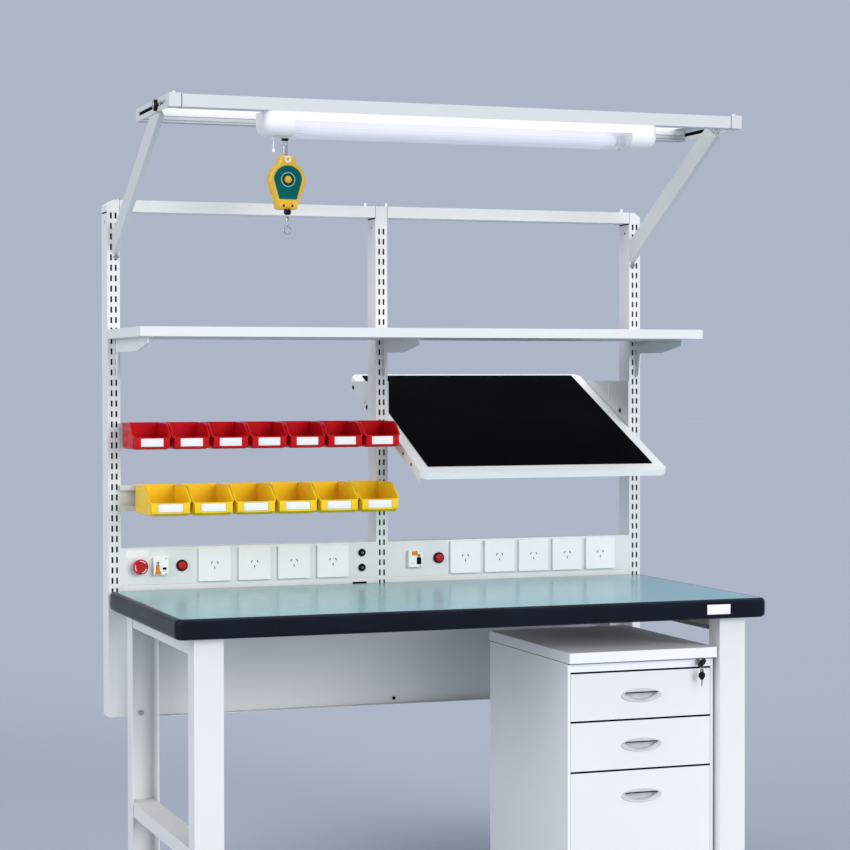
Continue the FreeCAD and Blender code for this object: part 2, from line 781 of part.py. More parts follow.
# Power trunkings between the posts, with sockets, breakers, buttons and earthing jacks
def trunkings():
    bottom = "(top_height + trunk_lift)"
    middle = f"({bottom} + trunk_height / 2)"
    face = "top_depth"
    fit = "control_clearance"

    ends = {"left": (f"(-{POST_IN})", MIDDLE_LEFT), "right": (MIDDLE_RIGHT, POST_IN)}

    def along(side, share):
        left, right = ends[side]
        return f"({left} + ({share}) * ({right} - {left}))"

    estop_x = along("left", "estop_place")
    jack_x = along("left", "jack_place")
    button_x = {side: along(side, f"button_{side}_place") for side in ends}
    breaker_x = {side: along(side, f"breaker_{side}_place") for side in ends}

    def through(name, x):
        at = (x, f"{face} - post_wall / 2", middle)
        return rod(name, f"{stem} + {fit}", "2 * post_wall", at, "Y")

    def trunk(side, holes):
        label = "trunking_" + side
        left, right = ends[side]
        length = f"({right} - {left})"
        case = block(label + "_case", (length, "trunk_depth", "trunk_height"), (left, face, bottom))
        size = [f"{side} - 2 * post_wall" for side in (length, "trunk_depth", "trunk_height")]
        at = (f"{left} + post_wall", f"{face} + post_wall", f"{bottom} + post_wall")
        node(label, cut(label + "_shell", case, block(label + "_hollow", size, at), *holes))

    jack_levels = [f"{middle} + jack_rise", f"{middle} - jack_rise"]
    stem = "stalk_radius"
    holes = {side: [through(f"button_{side}_hole", button_x[side])] for side in ends}
    holes["left"].append(through("estop_hole", estop_x))
    for side in ends:
        trunk(side, holes[side])

    size = ("plate_size", "plate_thick", "plate_size")
    plain = block("plate_blank", size, ("-plate_size / 2", "-plate_thick", "-plate_size / 2"))
    size = ("pin_slot", "2 * pin_depth", "pin_slot_length")
    pin_y = "-plate_thick - pin_depth"
    earth = block("pin_earth", size, ("-pin_slot / 2", pin_y, "-pin_rise - pin_slot_length"))
    live = block("pin_live", size, ("-pin_slot / 2", pin_y, "-pin_slot_length / 2"))
    slots = [turned("pin_right", live, Y_AXIS, "-pin_tilt", ("pin_spacing", "0", "pin_rise"))]
    slots.append(turned("pin_left", live, Y_AXIS, "pin_tilt", ("-pin_spacing", "0", "pin_rise")))
    socket = cut("socket", plain, earth, *slots)
    plates = []
    for side, count in (("left", 4), ("right", 5)):
        for index in range(count):
            x = along(side, f"plate_{side}_first + {index} * plate_{side}_pitch")
            plates.append(copy_at(f"socket_{side}_{index}", socket, (x, face, middle)))
    node("socket_plates", *plates)

    cases = []
    hub_y = f"({face} - breaker_depth / 2)"
    for side, offset in (("left", "-lever_offset"), ("right", "lever_offset")):
        x = f"({breaker_x[side]} + {offset})"
        size = ("breaker_width", "breaker_depth", "breaker_height")
        left = f"{breaker_x[side]} - breaker_width / 2"
        case_at = (left, f"{face} - breaker_depth", f"{middle} - breaker_height / 2")
        case = block(f"breaker_{side}_body", size, case_at)
        size = (f"lever_width + 2 * {fit}", "breaker_depth - breaker_wall", "breaker_height / 2")
        at = (f"{x} - lever_width / 2 - {fit}", f"{face} - breaker_depth", f"{middle} - breaker_height / 4")
        cases.append(cut(f"breaker_{side}", case, block(f"breaker_{side}_slot", size, at)))
        hub = rod(f"lever_{side}_hub", "lever_hub / 2", "lever_width", ("-lever_width / 2", "0", "0"), "X")
        size = ("lever_width", "lever_reach", "lever_hub")
        grip = block(f"lever_{side}_grip", size, ("-lever_width / 2", "-lever_reach", "-lever_hub / 2"))
        lever = fuse(f"lever_{side}", hub, grip)
        node(
            f"breaker_lever_{side}",
            turned(f"tipped_{side}", lever, X_AXIS, "lever_rest", (x, hub_y, middle)),
        )
    node("breaker_cases", *cases)

    jacks = []
    for index, level in enumerate(jack_levels):
        at = (jack_x, f"{face} - jack_proud", level)
        rim = rod(f"jack_{index}_rim", "jack_radius", "jack_proud", at, "Y")
        bore = rod(f"jack_{index}_bore", "jack_bore", "jack_proud", at, "Y")
        jacks.append(cut(f"jack_{index}", rim, bore))
    node("jack_sockets", *jacks)

    collars = []

    def push(label, x, radius, collar, head_gap, head):
        at = (x, f"{face} - collar_thick", middle)
        ring = rod(label + "_ring", collar, "collar_thick", at, "Y")
        well = rod(label + "_well", f"{head_gap} + {fit}", "collar_thick", at, "Y")
        collars.append(cut(label + "_collar", ring, well))
        reach = f"(collar_thick + {head})"
        stalk_at = (x, f"{face} - {reach}", middle)
        stalk = rod(label + "_stalk", stem, f"{reach} + post_wall + button_proud", stalk_at, "Y")
        free = reach if radius == head_gap else head
        cap_thick = f"({free} - estop_travel - {fit})"
        cap = rod(label + "_cap", radius, cap_thick, stalk_at, "Y")
        node(label, fuse(label + "_head", cap, stalk))

    push("estop_head", estop_x, "estop_radius", "estop_collar", stem, "estop_proud")
    cap = ("button_radius", "button_collar", "button_radius", "button_proud")
    for side in ends:
        push(f"red_button_{side}", button_x[side], *cap)
    node("button_collars", *collars)


# Tilting tray with a dark mat, hung on plates that reach back from two posts
def tilt_shelf():
    left = f"({MIDDLE_RIGHT} + hanger_plate + tilt_gap)"
    right = f"({POST_IN} - hanger_plate - tilt_gap)"
    width = f"({right} - {left})"
    # A hanger's lower edge rises to the back along the tray.
    hanger_outline = [
        ("0", "0"),
        ("hanger_length", "hanger_height - hanger_tail"),
        ("hanger_length", "hanger_height"),
        ("0", "hanger_height"),
    ]
    plates = []
    pins = []
    for side, x, head in (
        ("left", MIDDLE_RIGHT, f"{left} + tilt_wall"),
        ("right", f"({POST_IN} - hanger_plate)", f"{right} - tilt_wall - pivot_head / 2"),
    ):
        foot = (x, "top_depth", "hanger_bottom")
        plate = prism(f"hanger_{side}_plate", "YZ_Plane", hanger_outline, "hanger_plate", foot)
        at = (f"{x} - hanger_plate", PIVOT_Y, "tilt_pivot_z")
        hole = rod(f"hanger_{side}_hole", "pivot_radius + weld_gap", "3 * hanger_plate", at, "X")
        plates.append(cut(f"hanger_{side}", plate, hole))
        start = x if side == "left" else f"{right} - tilt_wall - pivot_head / 2"
        length = "hanger_plate + tilt_gap + tilt_wall + pivot_head / 2"
        shank = rod(f"pivot_{side}_shank", "pivot_radius", length, (start, PIVOT_Y, "tilt_pivot_z"), "X")
        play = "weld_gap" if side == "left" else "-weld_gap"
        knob_at = (f"{head} + {play}", PIVOT_Y, "tilt_pivot_z")
        knob = rod(f"pivot_{side}_knob", "pivot_head", "pivot_head / 2", knob_at, "X")
        pins.append(fuse(f"pivot_{side}", shank, knob))
    node("tilt_hangers", *plates)

    # The tray is drawn flat with its pivot at the origin, then tipped to its resting slope.
    front = "(tilt_rear_part - tilt_length)"
    top = "pivot_drop"

    def tray_outline(inset, corner):
        near, far = f"{front} + {inset}", f"tilt_rear_part - {inset}"
        low, high = f"{left} + {inset}", f"{right} - {inset}"
        return [
            (f"{low} + {corner}", near),
            (f"{high} - {corner}", near),
            (high, f"{near} + {corner}"),
            (high, f"{far} - {corner}"),
            (f"{high} - {corner}", far),
            (f"{low} + {corner}", far),
            (low, f"{far} - {corner}"),
            (low, f"{near} + {corner}"),
        ]

    under = ("0", "0", f"{top} - tilt_height")
    tray = prism("tray_block", "XY_Plane", tray_outline("0", "tilt_corner"), "tilt_height", under)
    inner_corner = "(tilt_corner - (2 - sqrt(2)) * tilt_wall)"
    room_outline = tray_outline("tilt_wall", inner_corner)
    room = prism("tray_room", "XY_Plane", room_outline, "tilt_height - tilt_wall", under)
    lip_size = (width, "tilt_corner + tilt_wall", "tilt_height - tilt_lip")
    lip_relief = block("tray_lip_relief", lip_size, (left, front, f"{top} - tilt_height"))
    bore_at = (f"{left} - tilt_gap", "0", "0")
    bores = rod("tray_bores", "pivot_radius + weld_gap", f"{width} + 2 * tilt_gap", bore_at, "X")
    flat = cut("tray_flat", tray, room, lip_relief, bores)
    mat_length = "tilt_length - tilt_border_front - tilt_border_rear"
    mat_size = (f"{width} - 2 * tilt_border_side", mat_length, "mat_thick")
    mat = block("mat_flat", mat_size, (f"{left} + tilt_border_side", f"{front} + tilt_border_front", top))
    pose = (X_AXIS, "tilt_angle", ("0", PIVOT_Y, "tilt_pivot_z"))
    node("tilt_frame", turned("tray", flat, *pose))
    node("tilt_mat", turned("mat", mat, *pose))
    return pins


# Sloping arms that carry the overhead frame on clamp bolts
ARM_RISE = "(over_bottom + over_height / 2 - arm_foot_z)"
ARM_LENGTH = f"sqrt(pow({ARM_RISE}; 2) + pow(arm_reach; 2))"
ARM_OUT = f"({OVER_HALF} - over_wall - weld_gap)"
CLAMP_Z = "(over_bottom + over_height / 2)"


def lamp_arms():
    # Drawn along +Y from the clamp bolt, then turned down to the post.
    half = "arm_width / 2"
    inside = f"({ARM_OUT} - arm_thick)"
    # The upper end is cut slanting, under the end channel, and the lower end upright on the post's face.
    slope = f"({ARM_RISE} / arm_reach)"
    foot_top = f"({ARM_LENGTH} - {half} * {slope})"
    foot_low = f"({ARM_LENGTH} + {half} * {slope})"
    corners = [
        ("arm_shoulder", f"-({half})"),
        (foot_top, f"-({half})"),
        (foot_low, half),
        ("0", half),
    ]
    beam = prism(
        "arm_beam",
        "YZ_Plane",
        [(u, f"-1 * ({v})") for u, v in corners],
        "arm_thick",
        (inside, "0", "0"),
    )
    size = ("arm_thick - 2 * arm_wall", ARM_LENGTH, "arm_width - 2 * arm_wall")
    room = block(
        "arm_room",
        size,
        (f"{inside} + arm_wall", "arm_shoulder + arm_wall", f"-({half}) + arm_wall"),
    )
    tab_at = (f"{ARM_OUT} - tie_thick", "0", "0")
    tab_end = rod("arm_tab_end", "arm_tab_radius", "tie_thick", tab_at, "X")
    size = ("tie_thick", "arm_shoulder", "2 * arm_tab_radius")
    tab = block("arm_tab", size, (tab_at[0], "0", "-arm_tab_radius"))
    eye = rod("arm_eye", "clamp_radius + weld_gap", "arm_thick", (inside, "0", "0"), "X")
    flat = cut("arm_flat", fuse("arm_solid", cut("arm_tube", beam, room), tab_end, tab), eye)
    slope_angle = f"-atan({ARM_RISE} / arm_reach)"
    right = turned("arm_right", flat, X_AXIS, slope_angle, ("0", CLAMP_Y, CLAMP_Z))
    node("lamp_arms", right, mirror("arm_left", right))

    knob = rod(
        "clamp_knob",
        "knob_radius",
        "knob_thick",
        (f"{OVER_HALF} + weld_gap", CLAMP_Y, CLAMP_Z),
        "X",
    )
    start = f"{ARM_OUT} - arm_thick + arm_wall"
    shank_length = f"{OVER_HALF} + knob_thick - ({start})"
    shank = rod("clamp_shank", "clamp_radius", shank_length, (start, CLAMP_Y, CLAMP_Z), "X")
    nut_thick = "(arm_thick - tie_thick - arm_wall - 2 * weld_gap)"
    nut = rod("clamp_nut", "2 * clamp_radius", nut_thick, (start, CLAMP_Y, CLAMP_Z), "X")
    bolt = fuse("clamp_bolt", knob, shank, nut)
    node("clamp_bolts", bolt, mirror("clamp_bolt_left", bolt))


def overhead_frame():
    top = "(over_bottom + over_height)"
    inner = f"({OVER_HALF} - over_flange)"
    front = f"({OVER_FRONT} + over_block)"
    run = f"({OVER_REAR} - {front})"
    channel = block("end_channel", ("over_flange", run, "over_height"), (inner, front, "over_bottom"))
    size = ("over_flange - over_wall", f"{run} - over_wall", "over_height - over_wall")
    hollow = block("end_hollow", size, (inner, front, "over_bottom"))
    size = ("2 * over_wall", "slot_ahead + slot_behind", "over_slot")
    at = (f"{OVER_HALF} - 1.5 * over_wall", f"{CLAMP_Y} - slot_ahead", f"{CLAMP_Z} - over_slot / 2")
    slot = block("end_slot", size, at)
    right = cut("end_right", channel, hollow, slot)
    node("overhead_end_channels", right, mirror("end_left", right))

    cube = block(
        "corner_cube",
        ("over_flange", "over_block", "over_height"),
        (inner, OVER_FRONT, "over_bottom"),
    )
    stud_at = (f"{inner} + over_flange / 2", f"{OVER_FRONT} + over_block / 2", top)
    stud = rod("corner_stud", "stud_radius", "stud_height", stud_at, "Z")
    corner = fuse("corner", cube, stud)
    node("overhead_corner_blocks", corner, mirror("corner_left", corner))

    rail_bottom = f"({top} - over_wall - rail_square)"

    def square_tube(name, half, y):
        bar = block(name, (f"2 * {half}", "rail_square", "rail_square"), (f"-{half}", y, rail_bottom))
        size = (f"2 * {half}", "rail_square - 2 * over_wall", "rail_square - 2 * over_wall")
        return bar, block(
            name + "_hollow",
            size,
            (f"-{half}", f"{y} + over_wall", f"{rail_bottom} + over_wall"),
        )

    front_bar, front_hollow = square_tube("front_bar", inner, OVER_FRONT)
    node("overhead_front_rail", cut("front_rail", front_bar, front_hollow))
    rear_y = f"({OVER_REAR} - over_wall - rail_square)"
    rear_half = f"({OVER_HALF} - over_wall)"
    rear_bar, rear_hollow = square_tube("rear_bar", rear_half, rear_y)
    mouth_y = f"{rear_y} + rail_square / 2 - rail_mouth / 2"
    size = (f"2 * {rear_half}", "rail_mouth", "over_wall")
    mouth = block("rear_mouth", size, (f"-{rear_half}", mouth_y, rail_bottom))
    node("overhead_rear_rail", cut("rear_rail", rear_bar, rear_hollow, mouth))
    return rail_bottom, f"({rear_y} + rail_square / 2)"


# Batten lamp below the front rail: base channel, end caps, clear cover, tube and pull switch
def lamp(rail_bottom):
    bottom = f"({rail_bottom} - lamp_height)"
    inner = "(lamp_half - lamp_cap)"
    front = OVER_FRONT
    size = (f"2 * {inner}", "lamp_width", "lamp_base_height")
    base = block("lamp_base_bar", size, (f"-{inner}", front, f"{rail_bottom} - lamp_base_height"))
    size = (f"2 * {inner}", "lamp_width - 2 * lamp_wall", "lamp_base_height - lamp_wall")
    at = (f"-{inner}", f"{front} + lamp_wall", f"{rail_bottom} - lamp_base_height")
    node("lamp_base", cut("lamp_base_channel", base, block("lamp_base_hollow", size, at)))

    def section(name, inset, top, length, x):
        corners = [
            (f"{front} + {inset}", f"{bottom} + {inset}"),
            (f"{front} + lamp_width - {inset}", f"{bottom} + {inset}"),
            (f"{front} + lamp_width - {inset}", top),
            (f"{front} + {inset}", top),
        ]
        body = prism(name, "YZ_Plane", corners, length, (x, "0", "0"))
        doc.recompute()
        level = body.Shape.BoundBox.ZMin + 1
        return rounded(
            body,
            name + "_round",
            f"lamp_round - {inset}",
            lambda edge: lengthwise(edge) and edge.BoundBox.ZMax < level,
        )

    cap = section("cap_block", "0", rail_bottom, "lamp_cap", inner)
    doc.recompute()
    outer_end = cap.Shape.BoundBox.XMax - 1
    cap_top = cap.Shape.BoundBox.ZMax - 1
    rounded(
        cap,
        "cap_end_round",
        "lamp_end_round",
        lambda edge: edge.BoundBox.XMin > outer_end and edge.BoundBox.ZMin < cap_top,
    )
    room_length = "lamp_cap - lamp_wall - lamp_end_round"
    room = section(
        "cap_room",
        "lamp_wall",
        f"{rail_bottom} - lamp_wall",
        room_length,
        f"{inner} + lamp_wall",
    )
    pull_x = "(-lamp_half + pull_inset)"
    pull_y = f"({front} + lamp_width / 2)"
    shell = cut("cap_shell", cap, room)
    left = mirror("cap_mirror", shell)
    nipple_at = (pull_x, pull_y, f"{bottom} - pull_nipple_height")
    nipple = rod("pull_nipple_body", "pull_nipple", "pull_nipple_height + lamp_wall", nipple_at, "Z")
    bore = rod("pull_bore", "pull_radius + weld_gap", "pull_nipple_height + 2 * lamp_wall", nipple_at, "Z")
    node("lamp_end_caps", shell, cut("cap_left", fuse("cap_nipple", left, nipple), bore))

    cover_top = f"({rail_bottom} - lamp_base_height)"
    cover = section("cover_block", "0", cover_top, f"2 * {inner}", f"-{inner}")
    cover_room = section("cover_room", "lamp_wall", f"{cover_top} + lamp_wall", f"2 * {inner}", f"-{inner}")
    node("lamp_diffuser", cut("cover", cover, cover_room))

    tube_at = (f"-{inner}", pull_y, f"{rail_bottom} - tube_drop")
    node("lamp_tube", rod("tube", "tube_radius", f"2 * {inner}", tube_at, "X"))

    head_level = f"({bottom} + lamp_wall + pull_travel)"
    string_at = (pull_x, pull_y, f"{bottom} - pull_nipple_height - pull_length")
    string = rod(
        "pull_string",
        "pull_radius",
        f"{head_level} + 2 * pull_bead - ({string_at[2]})",
        string_at,
        "Z",
    )
    head = rod("pull_head", "pull_bead", "pull_bead", (pull_x, pull_y, f"{head_level} + weld_gap"), "Z")
    grip = rod("pull_grip", "pull_bead", "2 * pull_bead", string_at, "Z")
    node("lamp_pull", fuse("pull", string, head, grip))


# Spring balancer: trolley in the rear rail, link, hollow case, drum and cable with its hook
def balancer(rail_bottom, rail_y):
    x, y = "balancer_x", rail_y
    floor_level = f"({rail_bottom} + over_wall)"
    shoe_height = "(rail_square / 2)"
    shoe_width = "(rail_square - 2 * over_wall - 2 * trolley_gap)"
    size = ("trolley_length", shoe_width, shoe_height)
    at = (f"{x} - trolley_length / 2", f"{y} - {shoe_width} / 2", f"{floor_level} + trolley_gap")
    shoe = block("trolley_shoe", size, at)
    corners = [
        ("-trolley_eye", f"{floor_level} + trolley_gap"),
        ("-trolley_eye / 2", "link_top - trolley_tip"),
        ("trolley_eye / 2", "link_top - trolley_tip"),
        ("trolley_eye", f"{floor_level} + trolley_gap"),
    ]
    tongue = prism(
        "trolley_tongue",
        "XZ_Plane",
        corners,
        "2 * trolley_stem",
        (x, f"{y} - trolley_stem", "0"),
    )
    eye_at = (x, f"{y} - trolley_stem", "link_top")
    pin_hole = rod("trolley_eye_hole", "link_radius + weld_gap", "2 * trolley_stem", eye_at, "Y")
    node("trolley", cut("trolley_body", fuse("trolley_solid", shoe, tongue), pin_hole))

    # Link: two side straps on a cross pin, with a lower pin through the case's eye
    drop = "(link_top - case_top + case_neck / 2)"
    strap_size = ("2 * trolley_stem", "sheet", f"{drop} + 2 * link_radius + 2 * sheet")
    pin_length = "(2 * trolley_stem + 2 * sheet + 2 * weld_gap)"
    straps = []
    beside = "(trolley_stem + weld_gap)"
    for side, at_y in (("front", f"{y} - {beside} - sheet"), ("back", f"{y} + {beside}")):
        at = (f"{x} - trolley_stem", at_y, f"link_top - {drop} - link_radius - sheet")
        straps.append(block(f"strap_{side}", strap_size, at))
    pin_y = f"{y} - {pin_length} / 2"
    pins = [
        rod("link_pin_upper", "link_radius", pin_length, (x, pin_y, "link_top"), "Y"),
        rod("link_pin_lower", "link_radius", pin_length, (x, pin_y, f"link_top - {drop}"), "Y"),
    ]
    node("balancer_link", fuse("link", *straps, *pins))

    half = "case_width / 2"
    base = "(case_top - case_height)"

    def shell_outline(inset):
        return [
            (f"-case_foot / 2 + {inset}", f"{base} + {inset}"),
            (f"case_foot / 2 - {inset}", f"{base} + {inset}"),
            (f"{half} - {inset}", "case_top - case_shoulder - case_neck / 2"),
            (f"{half} - {inset}", "case_top - case_shoulder"),
            (f"case_crown / 2 - {inset}", f"case_top - case_ear - {inset}"),
            (f"-case_crown / 2 + {inset}", f"case_top - case_ear - {inset}"),
            (f"-{half} + {inset}", "case_top - case_shoulder"),
            (f"-{half} + {inset}", "case_top - case_shoulder - case_neck / 2"),
        ]

    case = prism(
        "case_block",
        "XZ_Plane",
        shell_outline("0"),
        "case_depth",
        (x, f"{y} - case_depth / 2", "0"),
    )
    rounded(case, "case_block_round", "case_corner", crosswise)
    room = prism(
        "case_room",
        "XZ_Plane",
        shell_outline("case_wall"),
        "case_depth - 2 * case_wall",
        (x, f"{y} - case_depth / 2 + case_wall", "0"),
    )
    rounded(room, "case_room_round", "case_corner - case_wall", crosswise)
    ear_size = ("case_neck", "2 * trolley_stem", "case_neck")
    ear_at = (f"{x} - case_neck / 2", f"{y} - trolley_stem", "case_top - case_neck")
    ear = block("case_ear", ear_size, ear_at)
    ear_eye = (x, f"{y} - trolley_stem", "case_top - case_neck / 2")
    ear_hole = rod("case_ear_hole", "link_radius + weld_gap", "2 * trolley_stem", ear_eye, "Y")
    cable_y = f"({y} - case_depth / 2 + case_wall + 3 * cable_radius)"
    mouth_at = (x, cable_y, f"{base} - case_wall")
    mouth = rod("case_mouth", "cable_radius + weld_gap", "3 * case_wall", mouth_at, "Z")
    drum_z = "case_top - case_shoulder - case_neck / 2"
    axle_at = (x, f"{y} + case_depth / 2 - case_wall - drum_thick - weld_gap", drum_z)
    axle = rod("case_axle", "clamp_radius", "drum_thick + weld_gap", axle_at, "Y")
    hollow_case = cut("case_hollow", fuse("case_solid", case, ear), room, ear_hole, mouth)
    node("balancer_case", fuse("case", hollow_case, axle))

    drum_at = (x, f"{y} + case_depth / 2 - case_wall - drum_thick - weld_gap", drum_z)
    drum = rod("drum_disc", "drum_radius", "drum_thick", drum_at, "Y")
    bore = rod("drum_bore", "clamp_radius + weld_gap", "drum_thick", drum_at, "Y")
    node("balancer_drum", cut("drum", drum, bore))

    rest = f"({base} - weld_gap)"
    bumper_at = (x, cable_y, f"{rest} - bumper_height")
    bumper = rod("bumper", "bumper_radius", "bumper_height", bumper_at, "Z")
    cable = rod("cable", "cable_radius", "bumper_height + cable_reserve", bumper_at, "Z")
    stem_height = "hook_length / 2"
    stem_at = (x, cable_y, f"{rest} - bumper_height - {stem_height}")
    stem = rod("hook_stem", "hook_wire", stem_height, stem_at, "Z")
    bow = doc.addObject("Part::Torus", "hook_bow")
    bind(bow, "Radius1", "hook_radius")
    bind(bow, "Radius2", "hook_wire")
    bow.Placement.Rotation = ALONG["Y"]
    put(bow, (x, cable_y, f"{stem_at[2]} - hook_radius"))
    node("balancer_hook", fuse("hook", bumper, cable, stem, bow))


# Drawer pedestal with three drawers, recessed handles, lock and keys
CARCASS_LEFT = f"({PED_LEFT} + slab_side)"
CARCASS_WIDTH = "(ped_width - 2 * slab_side)"
CARCASS_FRONT = "(ped_front + slab_nose)"
CARCASS_DEPTH = "(ped_depth - slab_nose)"
CARCASS_TOP = f"({PED_HEIGHT} - slab_thick)"
INNER_LEFT = f"({CARCASS_LEFT} + ped_wall)"
INNER_WIDTH = f"({CARCASS_WIDTH} - 2 * ped_wall)"
LOCK_X = f"({PED_LEFT} + ped_width - lock_inset)"
LOCK_Z = f"({CARCASS_TOP} - lock_rail / 2)"


def crescent(name, width, drop, depth, x, y, top):
    """A flat-topped segment of a disc, as the drawer pulls have."""
    radius = f"((pow({width}; 2) / 4 + pow({drop}; 2)) / (2 * {drop}))"
    disc = rod(name + "_disc", radius, depth, (x, y, f"{top} - {drop} + {radius}"), "Y")
    slice_size = (width, depth, drop)
    return common(
        name,
        disc,
        block(name + "_slice", slice_size, (f"{x} - {width} / 2", y, f"{top} - {drop}")),
    )


def pedestal():
    slab_at = (PED_LEFT, "ped_front", CARCASS_TOP)
    slab = block("slab", ("ped_width", "ped_depth", "slab_thick"), slab_at)
    size = (INNER_WIDTH, f"{CARCASS_DEPTH} - 2 * ped_wall", "slab_thick - ped_back")
    slab_room = block("slab_room", size, (INNER_LEFT, f"{CARCASS_FRONT} + ped_wall", CARCASS_TOP))
    node("pedestal_top", cut("slab_pan", slab, slab_room))

    height = f"({CARCASS_TOP} - glide_height)"
    room_left = f"({CARCASS_LEFT} + ped_back)"
    room_width = f"({CARCASS_WIDTH} - 2 * ped_back)"
    room_right = f"({room_left} + {room_width})"
    room_front = f"({CARCASS_FRONT} + lock_rail_depth)"
    rear = f"({CARCASS_FRONT} + {CARCASS_DEPTH} - ped_back)"
    side_size = ("ped_back", CARCASS_DEPTH, height)
    deck_size = (room_width, f"{rear} - {room_front}", "ped_back")
    stile_size = ("ped_wall - ped_back", "lock_rail_depth", height)
    door_bottom = "(ped_base - front_gap)"
    base_size = (INNER_WIDTH, "lock_rail_depth", f"{door_bottom} - glide_height")
    rail_at = (INNER_LEFT, CARCASS_FRONT, f"{CARCASS_TOP} - lock_rail")
    rail = block("lock_rail_bar", (INNER_WIDTH, "lock_rail_depth", "lock_rail"), rail_at)
    lock_at = (LOCK_X, CARCASS_FRONT, LOCK_Z)
    lock_bore = rod("lock_bore", "lock_radius + lock_play", "lock_rail_depth", lock_at, "Y")
    plates = [
        block("side_left", side_size, (CARCASS_LEFT, CARCASS_FRONT, "glide_height")),
        block("side_right", side_size, (room_right, CARCASS_FRONT, "glide_height")),
        block("rear_sheet", (room_width, "ped_back", height), (room_left, rear, "glide_height")),
        block("deck_low", deck_size, (room_left, room_front, "glide_height")),
        block("deck_high", deck_size, (room_left, room_front, f"{CARCASS_TOP} - ped_back")),
        block("stile_left", stile_size, (room_left, CARCASS_FRONT, "glide_height")),
        block("stile_right", stile_size, (f"{INNER_LEFT} + {INNER_WIDTH}", CARCASS_FRONT, "glide_height")),
        block("base_rail", base_size, (INNER_LEFT, CARCASS_FRONT, "glide_height")),
        cut("bored_lock_rail", rail, lock_bore),
    ]

    glides = []
    for column, x in (
        ("left", f"{CARCASS_LEFT} + glide_inset"),
        ("right", f"{CARCASS_LEFT} + {CARCASS_WIDTH} - glide_inset"),
    ):
        for row, y in (
            ("front", f"{CARCASS_FRONT} + glide_inset"),
            ("back", f"{CARCASS_FRONT} + {CARCASS_DEPTH} - glide_inset"),
        ):
            glides.append(rod(f"glide_{column}_{row}", "glide_radius", "glide_height", (x, y, "0"), "Z"))
    node("pedestal_carcass", *plates, *glides)

    box_width = f"({INNER_WIDTH} - 2 * box_side_gap)"
    box_left = f"({INNER_LEFT} + box_side_gap)"
    box_front = f"({CARCASS_FRONT} + front_thick)"
    tops = [f"({CARCASS_TOP} - lock_rail - front_gap)"]
    tops.append(f"({tops[0]} - front_one - front_gap)")
    tops.append(f"({tops[1]} - front_two - front_gap)")
    heights = ["front_one", "front_two", f"({tops[2]} - ped_base)"]
    runners = []
    for label, top, height in zip(("top", "middle", "bottom"), tops, heights):
        low = f"({top} - {height})"
        size = (f"{INNER_WIDTH} - 2 * side_gap", "front_thick", height)
        panel = block(f"panel_{label}", size, (f"{INNER_LEFT} + side_gap", CARCASS_FRONT, low))
        skins = "2 * front_skin"
        size = (f"{INNER_WIDTH} - 2 * side_gap - {skins}", f"front_thick - {skins}", f"{height} - {skins}")
        at = (
            f"{INNER_LEFT} + side_gap + front_skin",
            f"{CARCASS_FRONT} + front_skin",
            f"{low} + front_skin",
        )
        face = cut(f"face_{label}", panel, block(f"panel_room_{label}", size, at))
        box_height = f"({height} - box_top_drop - box_bottom_rise)"
        box_low = f"({low} + box_bottom_rise)"
        tub = block(f"tub_{label}", (box_width, "box_length", box_height), (box_left, box_front, box_low))
        size = (f"{box_width} - 2 * box_wall", "box_length - 2 * box_wall", box_height)
        at = (f"{box_left} + box_wall", f"{box_front} + box_wall", f"{box_low} + box_wall")
        well = block(f"well_{label}", size, at)
        ledge = f"({low} + runner_rise)"
        bar_level = f"{ledge} + runner_thick + runner_play"
        bar_size = ("box_side_gap - side_gap", "box_length", "runner_bar")
        bars = [
            block(f"bar_{label}_left", bar_size, (f"{INNER_LEFT} + side_gap", box_front, bar_level)),
            block(f"bar_{label}_right", bar_size, (f"{box_left} + {box_width}", box_front, bar_level)),
        ]
        ledge_size = ("runner_width + ped_wall - ped_back", "box_length", "runner_thick")
        ledge_y = f"{box_front} + runner_thick"
        right_ledge = f"{INNER_LEFT} + {INNER_WIDTH} - runner_width"
        runners += [
            block(f"ledge_{label}_left", ledge_size, (room_left, ledge_y, ledge)),
            block(f"ledge_{label}_right", ledge_size, (right_ledge, ledge_y, ledge)),
        ]
        pull_x = f"({INNER_LEFT} + {INNER_WIDTH} / 2)"
        middle = f"({top} - {height} / 2 - handle_sink)" if label != "bottom" else f"({top} - handle_low)"
        pull_top = f"({middle} + handle_drop / 2)"
        cup_width = "(handle_width - 2 * handle_flange)"
        cup_drop = "(handle_drop - 2 * handle_flange)"
        cup_top = f"({pull_top} - handle_flange)"
        fit = "2 * handle_fit"
        cup_hole = crescent(
            f"cup_hole_{label}",
            f"({cup_width} + {fit})",
            f"({cup_drop} + {fit})",
            "handle_depth + handle_fit",
            pull_x,
            CARCASS_FRONT,
            f"({cup_top} + handle_fit)",
        )
        drawer = fuse(f"drawer_{label}_solid", cut(f"drawer_{label}_box", tub, well), face, *bars)
        node(f"drawer_{label}", cut(f"drawer_{label}_body", drawer, cup_hole))

        rim_y = f"{CARCASS_FRONT} - handle_proud"
        rim = crescent(
            f"rim_{label}",
            "handle_width",
            "handle_drop",
            "handle_proud",
            pull_x,
            rim_y,
            pull_top,
        )
        cup = crescent(f"cup_{label}", cup_width, cup_drop, "handle_depth", pull_x, CARCASS_FRONT, cup_top)
        inner_width = f"({cup_width} - 2 * handle_wall)"
        inner_drop = f"({cup_drop} - 2 * handle_wall)"
        grip = crescent(
            f"grip_{label}",
            inner_width,
            inner_drop,
            "handle_depth + handle_proud - handle_wall",
            pull_x,
            rim_y,
            f"({cup_top} - handle_wall)",
        )
        node(f"handle_{label}", cut(f"pull_{label}", fuse(f"pull_solid_{label}", rim, cup), grip))
    node("drawer_runners", *runners)


